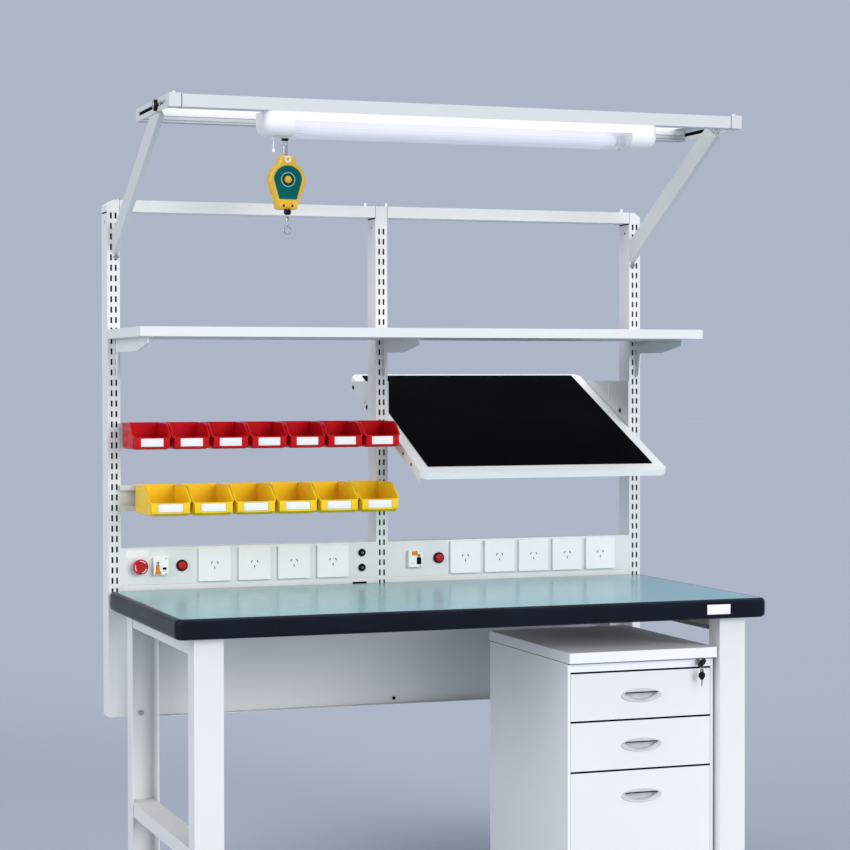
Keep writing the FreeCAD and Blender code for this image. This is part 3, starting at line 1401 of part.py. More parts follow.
def lock_and_keys():
    # Drawn about the lock's axis with the bow upright, then turned with the key.
    plug = rod("plug", "lock_radius", "lock_rail_depth - front_gap", ("0", "-lock_proud", "0"), "Y")
    shank_at = ("-key_thick / 2", "-lock_proud - key_shank", "-key_shank / 2")
    shank = block("key_shank_bar", ("key_thick", "key_shank", "key_shank"), shank_at)
    bow_back = "(lock_proud + key_shank)"
    bow_at = ("-key_thick / 2", f"-{bow_back} - key_bow_reach", "-key_bow / 2")
    bow = block("key_bow_plate", ("key_thick", "key_bow_reach", "key_bow"), bow_at)
    hole_y = f"({bow_back} + key_bow_reach / 2)"
    hole = rod("key_bow_hole", "key_hole", "3 * key_thick", ("-1.5 * key_thick", f"-{hole_y}", "0"), "X")
    key = cut("key_solid", fuse("key_blank", plug, shank, bow), hole)
    node("lock_key", turned("key", key, Y_AXIS, "key_turn", (LOCK_X, CARCASS_FRONT, LOCK_Z)))

    ring = doc.addObject("Part::Torus", "key_ring")
    bind(ring, "Radius1", "ring_radius")
    bind(ring, "Radius2", "ring_wire")
    ring.Placement.Rotation = ALONG["Y"]
    ring_z = f"({LOCK_Z} - ring_radius)"
    ring_y = f"({CARCASS_FRONT} - {hole_y})"
    put(ring, (LOCK_X, ring_y, ring_z))
    bow_z = f"({ring_z} - ring_radius - spare_bow_drop)"
    disc = rod("spare_disc", "spare_bow", "key_thick", (LOCK_X, f"{ring_y} - key_thick / 2", bow_z), "Y")
    size = ("spare_blade", "key_thick / 2", "spare_length")
    blade_z = f"{bow_z} - spare_blade_drop - spare_length"
    at = (f"{LOCK_X} - spare_blade / 2", f"{ring_y} - key_thick / 4", blade_z)
    node("spare_key", fuse("spare", ring, disc, block("spare_blade_bar", size, at)))


def fasteners(pivots):
    bolts = list(pivots)

    def head(name, x, y, z, along):
        return rod(name, "bolt_radius", "bolt_head", (x, y, z), along)

    leg_bolt_x = f"({LEG_IN} + leg_width / 2)"
    low = "(post_bottom + bolt_radius + tie_thick)"
    leg_face = "top_depth - leg_wall - bolt_head"
    leg_bolt = head("leg_bolt", leg_bolt_x, leg_face, low, "Y")
    bolts += [leg_bolt, mirror("leg_bolt_left", leg_bolt)]
    panel_face = "top_depth - sheet - bolt_head / 2"
    size_at = (f"{MIDDLE_RIGHT} + tie_reach / 4", panel_face, f"{UNDER} - panel_height + 2 * bolt_radius")
    bolts.append(rod("panel_screw", "bolt_radius / 2", "bolt_head / 2", size_at, "Y"))
    foot_tip = f"(arm_foot_z - arm_width / 2 * {ARM_LENGTH} / arm_reach)"
    arm_bolt_x = f"({ARM_OUT} - arm_thick / 2)"
    arm_bolt = head("arm_bolt", arm_bolt_x, "top_depth - bolt_head", f"{foot_tip} - bolt_radius", "Y")
    bolts += [arm_bolt, mirror("arm_bolt_left", arm_bolt)]
    beam_top = "post_top + beam_height"
    beam_y = "top_depth + post_depth / 2"
    for name, x in (
        ("beam_screw_left", f"-({HALF} - post_width - stud_height)"),
        ("beam_screw_middle", "middle_offset"),
        ("beam_screw_right", f"{HALF} - post_width - stud_height"),
    ):
        bolts.append(rod(name, "stud_radius", "stud_height", (x, beam_y, beam_top), "Z"))
    node("frame_bolts", *bolts)


def check_and_write():
    doc.recompute()
    failed = [item.Name for item in doc.Objects if {"Invalid", "Error"} & set(item.State)]
    if failed:
        raise RuntimeError(f"failed objects: {failed}")
    os.makedirs("parts", exist_ok=True)
    for label, item in nodes.items():
        if item.Shape.isNull() or not item.Shape.isValid() or not item.Shape.Solids:
            raise RuntimeError(f"bad shape: {label}")
    for label, item in nodes.items():
        item.Shape.exportStep(f"parts/{label}.step")
    print(f"{len(nodes)} sub-parts written")


worktop()
side_frames()
posts()
shelf()
bins()
trunkings()
pivot_pins = tilt_shelf()
lamp_arms()
overhead_rail_bottom, overhead_rail_y = overhead_frame()
lamp(overhead_rail_bottom)
balancer(overhead_rail_bottom, overhead_rail_y)
pedestal()
lock_and_keys()
fasteners(pivot_pins)
check_and_write()
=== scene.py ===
import json
import math

import bmesh
import bpy
from bmesh.types import BMEdge, BMFace, BMVert
from mathutils import Matrix, Vector


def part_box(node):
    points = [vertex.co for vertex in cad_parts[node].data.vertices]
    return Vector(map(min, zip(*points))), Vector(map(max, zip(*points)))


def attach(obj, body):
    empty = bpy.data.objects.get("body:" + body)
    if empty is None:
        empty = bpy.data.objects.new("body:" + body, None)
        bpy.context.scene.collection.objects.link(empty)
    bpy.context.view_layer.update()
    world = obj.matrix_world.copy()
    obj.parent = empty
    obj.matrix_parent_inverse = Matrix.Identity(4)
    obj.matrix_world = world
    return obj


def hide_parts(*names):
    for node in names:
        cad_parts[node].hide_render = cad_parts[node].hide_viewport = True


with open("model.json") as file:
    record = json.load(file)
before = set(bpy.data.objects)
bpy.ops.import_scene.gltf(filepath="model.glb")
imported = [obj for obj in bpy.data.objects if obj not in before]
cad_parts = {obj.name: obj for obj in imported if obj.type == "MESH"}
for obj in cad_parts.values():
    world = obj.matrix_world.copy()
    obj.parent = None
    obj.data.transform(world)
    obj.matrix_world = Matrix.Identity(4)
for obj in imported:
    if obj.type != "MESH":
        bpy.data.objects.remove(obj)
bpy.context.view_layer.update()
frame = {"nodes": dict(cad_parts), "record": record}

bl_info = {
    "name": "ESD work table",
    "version": (1, 0, 0),
    "blender": (4, 5, 0),
    "location": "View3D > Sidebar > Work table",
    "description": "Finishes, fittings and stage for an antistatic work table",
    "category": "Object",
}

TABLE_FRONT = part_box("worktop_edge")[0].y
X, Y, Z = Vector((1, 0, 0)), Vector((0, 1, 0)), Vector((0, 0, 1))
MM = 0.001
NEAR, MERGED = 1e-6, 4e-6
FULL_TURN = 2 * math.pi
UPRIGHT = Matrix.Rotation(math.radians(90), 4, "X")
DRAWERS = (("top", "upper_drawer"), ("middle", "middle_drawer"), ("bottom", "lower_drawer"))


# Sizes and colours that a user would change


def colour(label, text, default):
    return bpy.props.FloatVectorProperty(
        name=label, description=text, default=default, size=3, min=0, max=1, subtype="COLOR"
    )


def length(label, text, default):
    return bpy.props.FloatProperty(name=label, description=text, default=default, min=0, unit="LENGTH")


def angle(label, text, degrees):
    return bpy.props.FloatProperty(name=label, description=text, default=math.radians(degrees), subtype="ANGLE")


class TableColours(bpy.types.PropertyGroup):
    """Colours of the table's finishes."""

    frame_paint: colour("Frame paint", "Powder coat of the legs, posts, shelf, trunkings and tray", (0.80, 0.82, 0.825))
    rail_paint: colour("Rail paint", "Greyer powder coat of the overhead rails and bin rails", (0.67, 0.70, 0.71))
    pedestal_paint: colour("Pedestal paint", "Powder coat of the drawer pedestal", (0.81, 0.83, 0.84))
    laminate: colour("Laminate", "Antistatic laminate of the worktop", (0.125, 0.41, 0.47))
    edge_band: colour("Edge band", "Rounded band round the worktop", (0.008, 0.011, 0.020))
    board: colour("Board", "Grey backing of the worktop's board", (0.38, 0.37, 0.35))
    red_bin: colour("Red bins", "Moulded plastic of the upper bins", (0.60, 0.006, 0.011))
    yellow_bin: colour("Yellow bins", "Moulded plastic of the lower bins", (0.98, 0.66, 0.02))
    card: colour("Cards", "Blank label cards", (0.92, 0.92, 0.925))
    white_plastic: colour("White plastic", "Switchgear, sockets and lamp caps", (0.93, 0.94, 0.945))
    drawer_pull: colour("Drawer pulls", "Satin grey of the recessed pulls", (0.62, 0.64, 0.67))
    black_plastic: colour("Black plastic", "Knobs, feet, jacks and key bows", (0.006, 0.006, 0.007))
    signal_red: colour("Signal red", "Push buttons", (0.52, 0.008, 0.012))
    toggle_orange: colour("Toggle orange", "Breaker toggle", (0.80, 0.27, 0.015))
    mat: colour("Mat", "Rubber mat on the tilting tray", (0.003, 0.003, 0.004))
    steel: colour("Steel", "Zinc plated steel", (0.60, 0.61, 0.62))
    enamel: colour("Balancer enamel", "Enamel of the spring balancer's case", (0.90, 0.55, 0.04))
    badge: colour("Badge", "Plain badge on the balancer", (0.001, 0.135, 0.125))
    cover: colour("Lamp cover", "Clear ribbed cover of the lamp", (0.88, 0.88, 0.94))
    tube: colour("Lamp tube", "Opal glass tube", (0.88, 0.88, 0.92))


class FittingSizes(bpy.types.PropertyGroup):
    """Sizes of the fittings that are modelled on the CAD pieces."""

    bin_rim: length("Bin rim", "Width of the flange round a bin's opening", 0.0045)
    bin_wall: length("Bin wall", "Wall thickness of a bin", 0.002)
    bin_corner: length("Bin corner", "Rounding of a bin's front corners", 0.006)
    card_height: length("Card height", "Height of the blank cards on the bins", 0.021)
    knob_lobe: length("Knob lobe", "Depth of the hollows round a star knob", 0.003)
    bead_width: length("Bead width", "Width of the bead round the mat", 0.006)
    bead_height: length("Bead height", "Height of the bead over the tray", 0.0042)
    handle_rim: length("Handle rim", "Drop of a drawer pull's lower rim", 0.025)
    handle_arch: length("Handle arch", "Rise of a drawer pull's upper rim", 0.0095)
    handle_cup: length("Handle cup", "Drop of a drawer pull's recess", 0.0188)


class StageSettings(bpy.types.PropertyGroup):
    """Camera, floor and lamps."""

    camera_place: bpy.props.FloatVectorProperty(
        name="Camera place",
        description="Camera from the middle of the worktop's front edge on the floor",
        default=(-1.938, -5.010, 1.293),
        subtype="TRANSLATION",
    )
    camera_pitch: angle("Camera pitch", "Downward tilt of the camera", 1.15)
    camera_yaw: angle("Camera yaw", "Turn of the camera to the right", 19.61)
    camera_roll: angle("Camera roll", "Roll of the camera", 0.10)
    focal_length: bpy.props.FloatProperty(
        name="Focal length", description="Focal length on a 36 mm sensor, in millimetres", default=96.17, min=10
    )
    floor: colour("Floor", "Plain pale floor", (0.369, 0.415, 0.503))
    backdrop: colour("Backdrop", "What the camera sees past the floor", (0.415, 0.467, 0.57))
    ambience: colour("Ambience", "Soft light from all round", (0.98, 0.985, 1.0))


def sizes():
    return bpy.context.scene.table_sizes


# Shader nodes, and groups for effects that several finishes share


def fill(tree, node, inputs):
    """Set a node's sockets to values or link them to other sockets."""
    for key, value in inputs.items():
        if isinstance(value, bpy.types.NodeSocket):
            tree.links.new(value, node.inputs[key])
        else:
            node.inputs[key].default_value = value


def place(tree, kind, inputs=None, **settings):
    """Add a node, set its options and fill its sockets."""
    node = tree.nodes.new(kind)
    for key, value in settings.items():
        setattr(node, key, value)
    fill(tree, node, inputs or {})
    return node


def surface_spot(tree):
    return tree.nodes.new("ShaderNodeTexCoord").outputs["Object"]


def maths(tree, operation, first, second=0.0):
    return place(tree, "ShaderNodeMath", {0: first, 1: second}, operation=operation).outputs[0]


def times(tree, first, second):
    return maths(tree, "MULTIPLY", first, second)


def per_metre(tree, size):
    return maths(tree, "DIVIDE", 1.0, size)


def along_axis(tree, vector, axis):
    return place(tree, "ShaderNodeSeparateXYZ", {0: vector}).outputs[axis]


def ranged(tree, value, low, high, new_low=0.0, new_high=1.0):
    inputs = {"Value": value, "From Min": low, "From Max": high, "To Min": new_low, "To Max": new_high}
    return place(tree, "ShaderNodeMapRange", inputs).outputs[0]


def blended(tree, factor, first, second):
    return place(tree, "ShaderNodeMix", {0: factor, 6: first, 7: second}, data_type="RGBA").outputs[2]


def noise(tree, vector, scale, detail=2.0, roughness=0.5):
    inputs = {"Vector": vector, "Scale": scale, "Detail": detail, "Roughness": roughness}
    return place(tree, "ShaderNodeTexNoise", inputs).outputs["Fac"]


def stretched(tree, vector, *factors):
    """Texture space drawn out by a factor along each axis."""
    factors = place(tree, "ShaderNodeCombineXYZ", dict(enumerate(factors))).outputs[0]
    return place(tree, "ShaderNodeVectorMath", {0: vector, 1: factors}, operation="MULTIPLY").outputs[0]


def new_group(name, inputs, *outputs):
    """A node group of plain numbers: its tree, what it is given and its output node."""
    tree = bpy.data.node_groups.new(name, "ShaderNodeTree")
    for label, default in inputs.items():
        tree.interface.new_socket(label, in_out="INPUT", socket_type="NodeSocketFloat").default_value = default
    for label in outputs:
        tree.interface.new_socket(label, in_out="OUTPUT", socket_type="NodeSocketFloat")
    return tree, tree.nodes.new("NodeGroupInput").outputs, tree.nodes.new("NodeGroupOutput")


def surface_grain_group():
    """Fine surface texture and a slow drift of tone, both sized in metres."""
    tree, given, result = new_group("Surface_Grain", {"Grain Size": 0.0015, "Drift Size": 0.3}, "Height", "Drift")
    spot = surface_spot(tree)
    fine = noise(tree, spot, per_metre(tree, given["Grain Size"]))
    slow = noise(tree, spot, per_metre(tree, given["Drift Size"]), 4.0)
    fill(tree, result, {"Height": fine, "Drift": ranged(tree, slow, 0.3, 0.7)})


def settled_dust_group():
    """Dust that lies on what faces up, in soft patches."""
    tree, given, result = new_group("Settled_Dust", {"Amount": 0.1, "Patch Size": 0.12}, "Mask")
    normal = tree.nodes.new("ShaderNodeNewGeometry").outputs["Normal"]
    upward = ranged(tree, along_axis(tree, normal, "Z"), 0.6, 1.0)
    patch = noise(tree, surface_spot(tree), per_metre(tree, given["Patch Size"]), 6.0, 0.62)
    mask = times(tree, upward, ranged(tree, patch, 0.35, 0.75))
    fill(tree, result, {"Mask": times(tree, mask, given["Amount"])})


def fine_scratches_group():
    """Hairline rubbing marks in two directions."""
    tree, given, result = new_group("Fine_Scratches", {"Size": 0.05, "Thinness": 14.0}, "Mask")
    spot, thin = surface_spot(tree), given["Thinness"]
    scale = per_metre(tree, given["Size"])
    marks = []
    for turn in (0.35, -0.9):
        slanted = place(tree, "ShaderNodeMapping", {"Vector": spot, "Rotation": (0.2, 0.1, turn)}).outputs[0]
        hairs = noise(tree, stretched(tree, slanted, thin, 1.0, thin), scale, 3.0)
        marks.append(ranged(tree, hairs, 0.66, 0.74))
    fill(tree, result, {"Mask": maths(tree, "MAXIMUM", *marks)})


def brushed_streaks_group():
    """Drawn streaks along X, as on plated or brushed metal."""
    tree, given, result = new_group("Brushed_Streaks", {"Size": 0.0006, "Length": 40.0}, "Streak")
    drawn = stretched(tree, surface_spot(tree), per_metre(tree, given["Length"]), 1.0, 1.0)
    streak = noise(tree, drawn, per_metre(tree, given["Size"]), 3.0)
    fill(tree, result, {"Streak": ranged(tree, streak, 0.25, 0.75)})


def grouped(tree, name, **values):
    """Place a shared node group with its own values."""
    node = place(tree, "ShaderNodeGroup", node_tree=bpy.data.node_groups[name])
    fill(tree, node, {key.replace("_", " "): value for key, value in values.items()})
    return node.outputs


# Finishes

DUST = (0.42, 0.41, 0.39, 1.0)
RUBBED = (0.6, 0.66, 0.65, 1.0)


def new_finish(name):
    """A material's node tree and its Principled BSDF."""
    finish = bpy.data.materials.new(name)
    finish.use_nodes = True
    return finish.node_tree, finish.node_tree.nodes["Principled BSDF"]


def shaded(rgb, factor):
    return (*(channel * factor for channel in rgb), 1.0)


def paler(rgb, factor):
    return [min(1.0, channel * factor) for channel in rgb]


def toned(tree, factor, rgb, dark, light=1.0):
    """One colour between a darker and a lighter shade of it."""
    return blended(tree, factor, shaded(rgb, dark), shaded(rgb, light))


def bump(tree, height, depth):
    return place(tree, "ShaderNodeBump", {"Height": height, "Distance": depth}).outputs[0]


def moulded(name, rgb, roughness, grain, depth, drift, tone, dust=0.0, shine=0.5):
    """Painted or moulded surface: grain, slow tone drift, rubbing marks and settled dust."""
    tree, shader = new_finish(name)
    surface = grouped(tree, "Surface_Grain", Grain_Size=grain, Drift_Size=drift)
    scratch = grouped(tree, "Fine_Scratches")["Mask"]
    body = toned(tree, surface["Drift"], rgb, tone)
    rough = ranged(tree, surface["Drift"], 0.0, 1.0, roughness + 0.05, roughness - 0.03)
    rough = maths(tree, "ADD", rough, times(tree, scratch, 0.06))
    if dust:
        settled = grouped(tree, "Settled_Dust", Amount=dust)["Mask"]
        body = blended(tree, settled, body, DUST)
        rough = maths(tree, "ADD", rough, times(tree, settled, 0.5))
    relief = bump(tree, surface["Height"], depth)
    fill(tree, shader, {"Base Color": body, "Roughness": rough, "Specular IOR Level": shine, "Normal": relief})


def plated(name, rgb, roughness):
    """Plated steel with drawn streaks and a slow change of tone."""
    tree, shader = new_finish(name)
    streak = grouped(tree, "Brushed_Streaks")["Streak"]
    surface = grouped(tree, "Surface_Grain", Grain_Size=0.004, Drift_Size=0.03)
    tone = toned(tree, surface["Drift"], rgb, 0.86)
    fill(tree, shader, {
        "Base Color": blended(tree, streak, shaded(rgb, 0.9), tone),
        "Roughness": ranged(tree, streak, 0.0, 1.0, roughness - 0.06, roughness + 0.1),
        "Metallic": 1.0,
        "Normal": bump(tree, streak, 0.00003),
    })


def laminate_finish(rgb):
    """Worktop laminate: dense two-tone fleck, fine texture, hairline rubbing."""
    tree, shader = new_finish("worktop_laminate_green")
    spot = surface_spot(tree)
    surface = grouped(tree, "Surface_Grain", Grain_Size=0.0012, Drift_Size=0.45)
    scratch = grouped(tree, "Fine_Scratches", Size=0.08, Thinness=24.0)["Mask"]
    fleck = place(tree, "ShaderNodeTexVoronoi", {"Vector": spot, "Scale": 420.0})
    pale = ranged(tree, fleck.outputs["Color"], 0.72, 1.0, 0.0, 0.45)
    cloud = noise(tree, spot, 160.0, 4.0, 0.6)
    base = toned(tree, surface["Drift"], rgb, 0.93, 1.04)
    dark = blended(tree, ranged(tree, cloud, 0.45, 0.62, 0.0, 0.5), base, shaded(rgb, 0.72))
    flecked = blended(tree, pale, dark, shaded([channel * 0.7 + 0.14 for channel in rgb], 1.0))
    rough = ranged(tree, cloud, 0.3, 0.7, 0.13, 0.19)
    fill(tree, shader, {
        "Base Color": blended(tree, times(tree, scratch, 0.12), flecked, RUBBED),
        "Roughness": maths(tree, "SUBTRACT", rough, times(tree, scratch, 0.06)),
        "Normal": bump(tree, surface["Height"], 0.00012),
    })


def chipboard_finish(rgb):
    """Pressed chips in three shades."""
    tree, shader = new_finish("worktop_chipboard")
    spot = surface_spot(tree)
    chips = place(tree, "ShaderNodeTexVoronoi", {"Vector": spot, "Scale": 190.0, "Randomness": 1.0}).outputs
    fibre = noise(tree, spot, 600.0, 4.0)
    fill(tree, shader, {
        "Base Color": blended(tree, fibre, toned(tree, chips["Color"], rgb, 0.55, 1.15), shaded(rgb, 0.9)),
        "Roughness": ranged(tree, fibre, 0.2, 0.8, 0.75, 0.92),
        "Normal": bump(tree, chips["Distance"], 0.0004),
    })


def cover_finish(rgb):
    """Clear lamp cover with fine ribs along its length, clearer at its right end."""
    tree, shader = new_finish("lamp_cover_clear")
    spot = surface_spot(tree)
    ribs = {"Vector": spot, "Scale": 90.0, "Distortion": 0.0}
    both = times(tree, *(
        place(tree, "ShaderNodeTexWave", ribs, bands_direction=way).outputs["Fac"] for way in "YZ"
    ))
    haze = noise(tree, spot, 9.0, 4.0)
    opaque = maths(tree, "ADD", ranged(tree, both, 0.0, 1.0, 0.58, 0.68), ranged(tree, haze, 0.3, 0.7, 0.0, 0.06))
    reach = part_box("lamp_diffuser")[1].x
    clear = ranged(tree, along_axis(tree, spot, "X"), reach - 0.075, reach - 0.030, 1.0, 0.42)
    fill(tree, shader, {
        "Base Color": toned(tree, both, rgb, 0.97, 1.03),
        "Alpha": times(tree, opaque, clear),
        "Roughness": ranged(tree, haze, 0.3, 0.7, 0.14, 0.24),
        "Emission Color": blended(tree, both, (0.86, 0.87, 1.0, 1.0), (0.98, 0.98, 1.0, 1.0)),
        "Emission Strength": 0.16,
        "Normal": bump(tree, both, 0.0003),
    })


def tube_finish(rgb):
    """Opal glass, greyer towards its ends."""
    tree, shader = new_finish("lamp_tube_opal")
    spot = surface_spot(tree)
    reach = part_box("lamp_tube")[1].x
    end = ranged(tree, maths(tree, "ABSOLUTE", along_axis(tree, spot, "X")), reach - 0.05, reach)
    powder = noise(tree, spot, 700.0)
    fill(tree, shader, {
        "Base Color": blended(tree, end, toned(tree, powder, rgb, 0.96, 1.02), (0.36, 0.35, 0.36, 1.0)),
        "Roughness": ranged(tree, powder, 0.2, 0.8, 0.12, 0.22),
        "Emission Color": blended(tree, end, (0.9, 0.92, 1.0, 1.0), (0.2, 0.2, 0.2, 1.0)),
        "Emission Strength": 0.25,
    })


def make_finishes(tone):
    """Build the shared groups and every finish of the table."""
    for group in (surface_grain_group, settled_dust_group, fine_scratches_group, brushed_streaks_group):
        group()
    # Paler copies of the frame and pedestal paint: painted light that brightens the tray and the pedestal's carcass
    tray, carcass = paler(tone.frame_paint, 1.13), paler(tone.pedestal_paint, 1.12)
    for finish in (  # name, colour, roughness, grain size and depth, drift size, darkest tone, dust, shine
        ("pale_paint", tone.frame_paint, 0.42, 0.0022, 0.00014, 0.5, 0.95, 0.06, 0.4),
        ("rail_paint", tone.rail_paint, 0.40, 0.0022, 0.00014, 0.5, 0.95, 0.06, 0.4),
        ("tray_lit_paint", tray, 0.42, 0.0022, 0.00014, 0.5, 0.96, 0.03, 0.4),
        ("pedestal_paint", tone.pedestal_paint, 0.40, 0.0020, 0.00012, 0.4, 0.95, 0.06, 0.4),
        ("carcass_lit_paint", carcass, 0.40, 0.0020, 0.00012, 0.4, 0.96, 0.02, 0.4),
        ("edge_strip", tone.edge_band, 0.26, 0.0016, 0.00004, 0.12, 0.7, 0.0, 0.09),
        ("red_bin", tone.red_bin, 0.22, 0.003, 0.00006, 0.04, 0.86, 0.0, 0.16),
        ("yellow_bin", tone.yellow_bin, 0.24, 0.003, 0.00006, 0.04, 0.94, 0.0, 0.3),
        ("card", tone.card, 0.75, 0.0007, 0.00005, 0.02, 0.96, 0.0, 0.2),
        ("white_moulding", tone.white_plastic, 0.30, 0.0012, 0.00004, 0.1, 0.97),
        ("black_moulding", tone.black_plastic, 0.34, 0.0010, 0.00006, 0.03, 0.75, 0.02, 0.16),
        ("signal_gloss", tone.signal_red, 0.22, 0.0015, 0.00004, 0.02, 0.85),
        ("toggle_orange", tone.toggle_orange, 0.28, 0.0012, 0.00005, 0.02, 0.88),
        ("black_rubber", tone.mat, 0.60, 0.0009, 0.0002, 0.3, 0.7, 0.002, 0.006),
        ("balancer_enamel", tone.enamel, 0.26, 0.0025, 0.0001, 0.05, 0.88),
        ("balancer_badge", tone.badge, 0.34, 0.0012, 0.00004, 0.03, 0.85, 0.0, 0.08),
        ("shadow_black", (0.003, 0.003, 0.004), 0.7, 0.001, 0.0001, 0.03, 0.7, 0.0, 0.02),
        # Dark grey for seams, and for painted shade in the rail joints and under the pedestal's top
        ("seam_and_shade_grey", (0.16, 0.165, 0.175), 0.6, 0.001, 0.0001, 0.03, 0.8, 0.0, 0.1),
        ("pull_satin", tone.drawer_pull, 0.30, 0.0012, 0.00004, 0.03, 0.9, 0.0, 0.7),
    ):
        moulded(*finish)
    plated("zinc_steel", tone.steel, 0.34)
    plated("satin_chrome", paler(tone.steel, 1.12), 0.28)
    laminate_finish(tone.laminate)
    chipboard_finish(tone.board)
    cover_finish(tone.cover)
    tube_finish(tone.tube)


# Modelling steps on a bmesh. Profiles, offsets and eased edges are given in millimetres


def mm(*offsets):
    return Vector(offsets) * MM


def middle(node):
    low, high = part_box(node)
    return (low + high) / 2


def of_kind(geom, kind):
    return [item for item in geom if isinstance(item, kind)]


def edges_at(verts):
    return list({edge for vert in verts for edge in vert.link_edges})


def edges_of(faces):
    return list({edge for face in faces for edge in face.edges})


def shape(bm, make, finish=0):
    """Run one modelling step and hand back the faces it added, merged and facing outwards."""
    old = set(bm.faces)
    make()
    loose = {vert for face in bm.faces if face not in old for vert in face.verts}
    bmesh.ops.remove_doubles(bm, verts=list(loose), dist=MERGED)
    faces = [face for face in bm.faces if face not in old]
    bmesh.ops.recalc_face_normals(bm, faces=faces)
    for face in faces:
        face.material_index = finish
    return faces


def soften(bm, geom, width, segments=2, affect="EDGES", clamp=True):
    bmesh.ops.bevel(
        bm, geom=geom, offset=width, offset_type="OFFSET", affect=affect, segments=segments, profile=0.5,
        material=-1, clamp_overlap=clamp,
    )


def drawn_out(bm, faces, step):
    """Draw faces out by a step and hand them back in their new place."""
    made = bmesh.ops.extrude_face_region(bm, geom=faces)["geom"]
    bmesh.ops.translate(bm, verts=of_kind(made, BMVert), vec=step)
    return of_kind(made, BMFace)


def slab(bm, low, high, edge, finish=0):
    """A small block between two corners, with eased edges."""
    low, high = Vector(low), Vector(high)

    def make():
        matrix = Matrix.Translation((low + high) / 2) @ Matrix.Diagonal((*(high - low), 1))
        verts = bmesh.ops.create_cube(bm, size=1, matrix=matrix)["verts"]
        soften(bm, edges_at(verts), edge * MM)

    return shape(bm, make, finish)


def block(bm, spot, low, high, edge, finish=0):
    """A slab whose corners are offsets from a spot."""
    return slab(bm, spot + mm(*low), spot + mm(*high), edge, finish)


def turned(bm, centre, axis, profile, finish=0, steps=40):
    """A round piece: a profile of (radius, distance along the axis) spun about the axis.

    A profile that starts off the axis makes a ring and is closed.
    """
    centre, axis = Vector(centre), Vector(axis)
    side = axis.orthogonal().normalized()
    if profile[0][0]:
        profile = [*profile, profile[0]]

    def make():
        verts = [bm.verts.new(centre + side * (radius * MM) + axis * (along * MM)) for radius, along in profile]
        edges = [bm.edges.new(pair) for pair in zip(verts, verts[1:])]
        bmesh.ops.spin(bm, geom=verts + edges, cent=centre, axis=axis, angle=FULL_TURN, steps=steps, use_merge=True)

    return shape(bm, make, finish)


def rod(bm, start, axis, radius, reach, finish=0, steps=20):
    return turned(bm, start, axis, [(0, 0), (radius, 0), (radius, reach), (0, reach)], finish, steps)


def bent_rod(bm, centre, axis, start, radius, sweep, finish=0, steps=24, sides=12):
    """A round rod swept along an arc: start is the rod's first point, seen from the arc's centre."""
    centre, axis, start = Vector(centre), Vector(axis), Vector(start)
    along = axis.cross(start).normalized()
    closed = sweep >= FULL_TURN

    def make():
        matrix = Matrix.Translation(centre + start) @ along.to_track_quat("Z", "Y").to_matrix().to_4x4()
        ring = bmesh.ops.create_circle(
            bm, segments=sides, radius=radius * MM, cap_ends=not closed, matrix=matrix
        )["verts"]
        geom = ring + edges_at(ring) + list({face for vert in ring for face in vert.link_faces})
        bmesh.ops.spin(bm, geom=geom, cent=centre, axis=axis, angle=sweep, steps=steps, use_merge=closed)

    return shape(bm, make, finish)


def plate(bm, corners, thickness, finish=0, edge=0.0, corner=0.0):
    """A flat plate: an outline whose corners are rounded, given a thickness and eased edges."""

    def make():
        others = set(bm.faces)
        verts = [bm.verts.new(point) for point in corners]
        bm.faces.new(verts)
        if corner:
            soften(bm, verts, corner * MM, 3, "VERTICES")
        caps = drawn_out(bm, [next(face for face in bm.faces if face not in others)], thickness)
        if edge:
            soften(bm, edges_of(caps), edge * MM)

    return shape(bm, make, finish)


def moved_faces(bm, faces, matrix):
    verts = list({vert for face in faces for vert in face.verts})
    bmesh.ops.transform(bm, matrix=matrix, verts=verts)


def about(point, axis, degrees):
    """A turn about an axis through a point."""
    there = Matrix.Translation(Vector(point))
    return there @ Matrix.Rotation(math.radians(degrees), 4, axis) @ there.inverted()


def finished(bm, name, body, finishes, replaced=(), crease=32.0):
    """Turn the modelled bmesh into a piece that rides on a CAD body."""
    mesh = bpy.data.meshes.new(name)
    bm.to_mesh(mesh)
    bm.free()
    mesh.shade_smooth()
    mesh.set_sharp_from_angle(angle=math.radians(crease))
    for finish in finishes:
        mesh.materials.append(bpy.data.materials[finish])
    piece = bpy.data.objects.new(name, mesh)
    bpy.context.collection.objects.link(piece)
    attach(piece, body)
    if replaced:
        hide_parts(*replaced)


# Operators


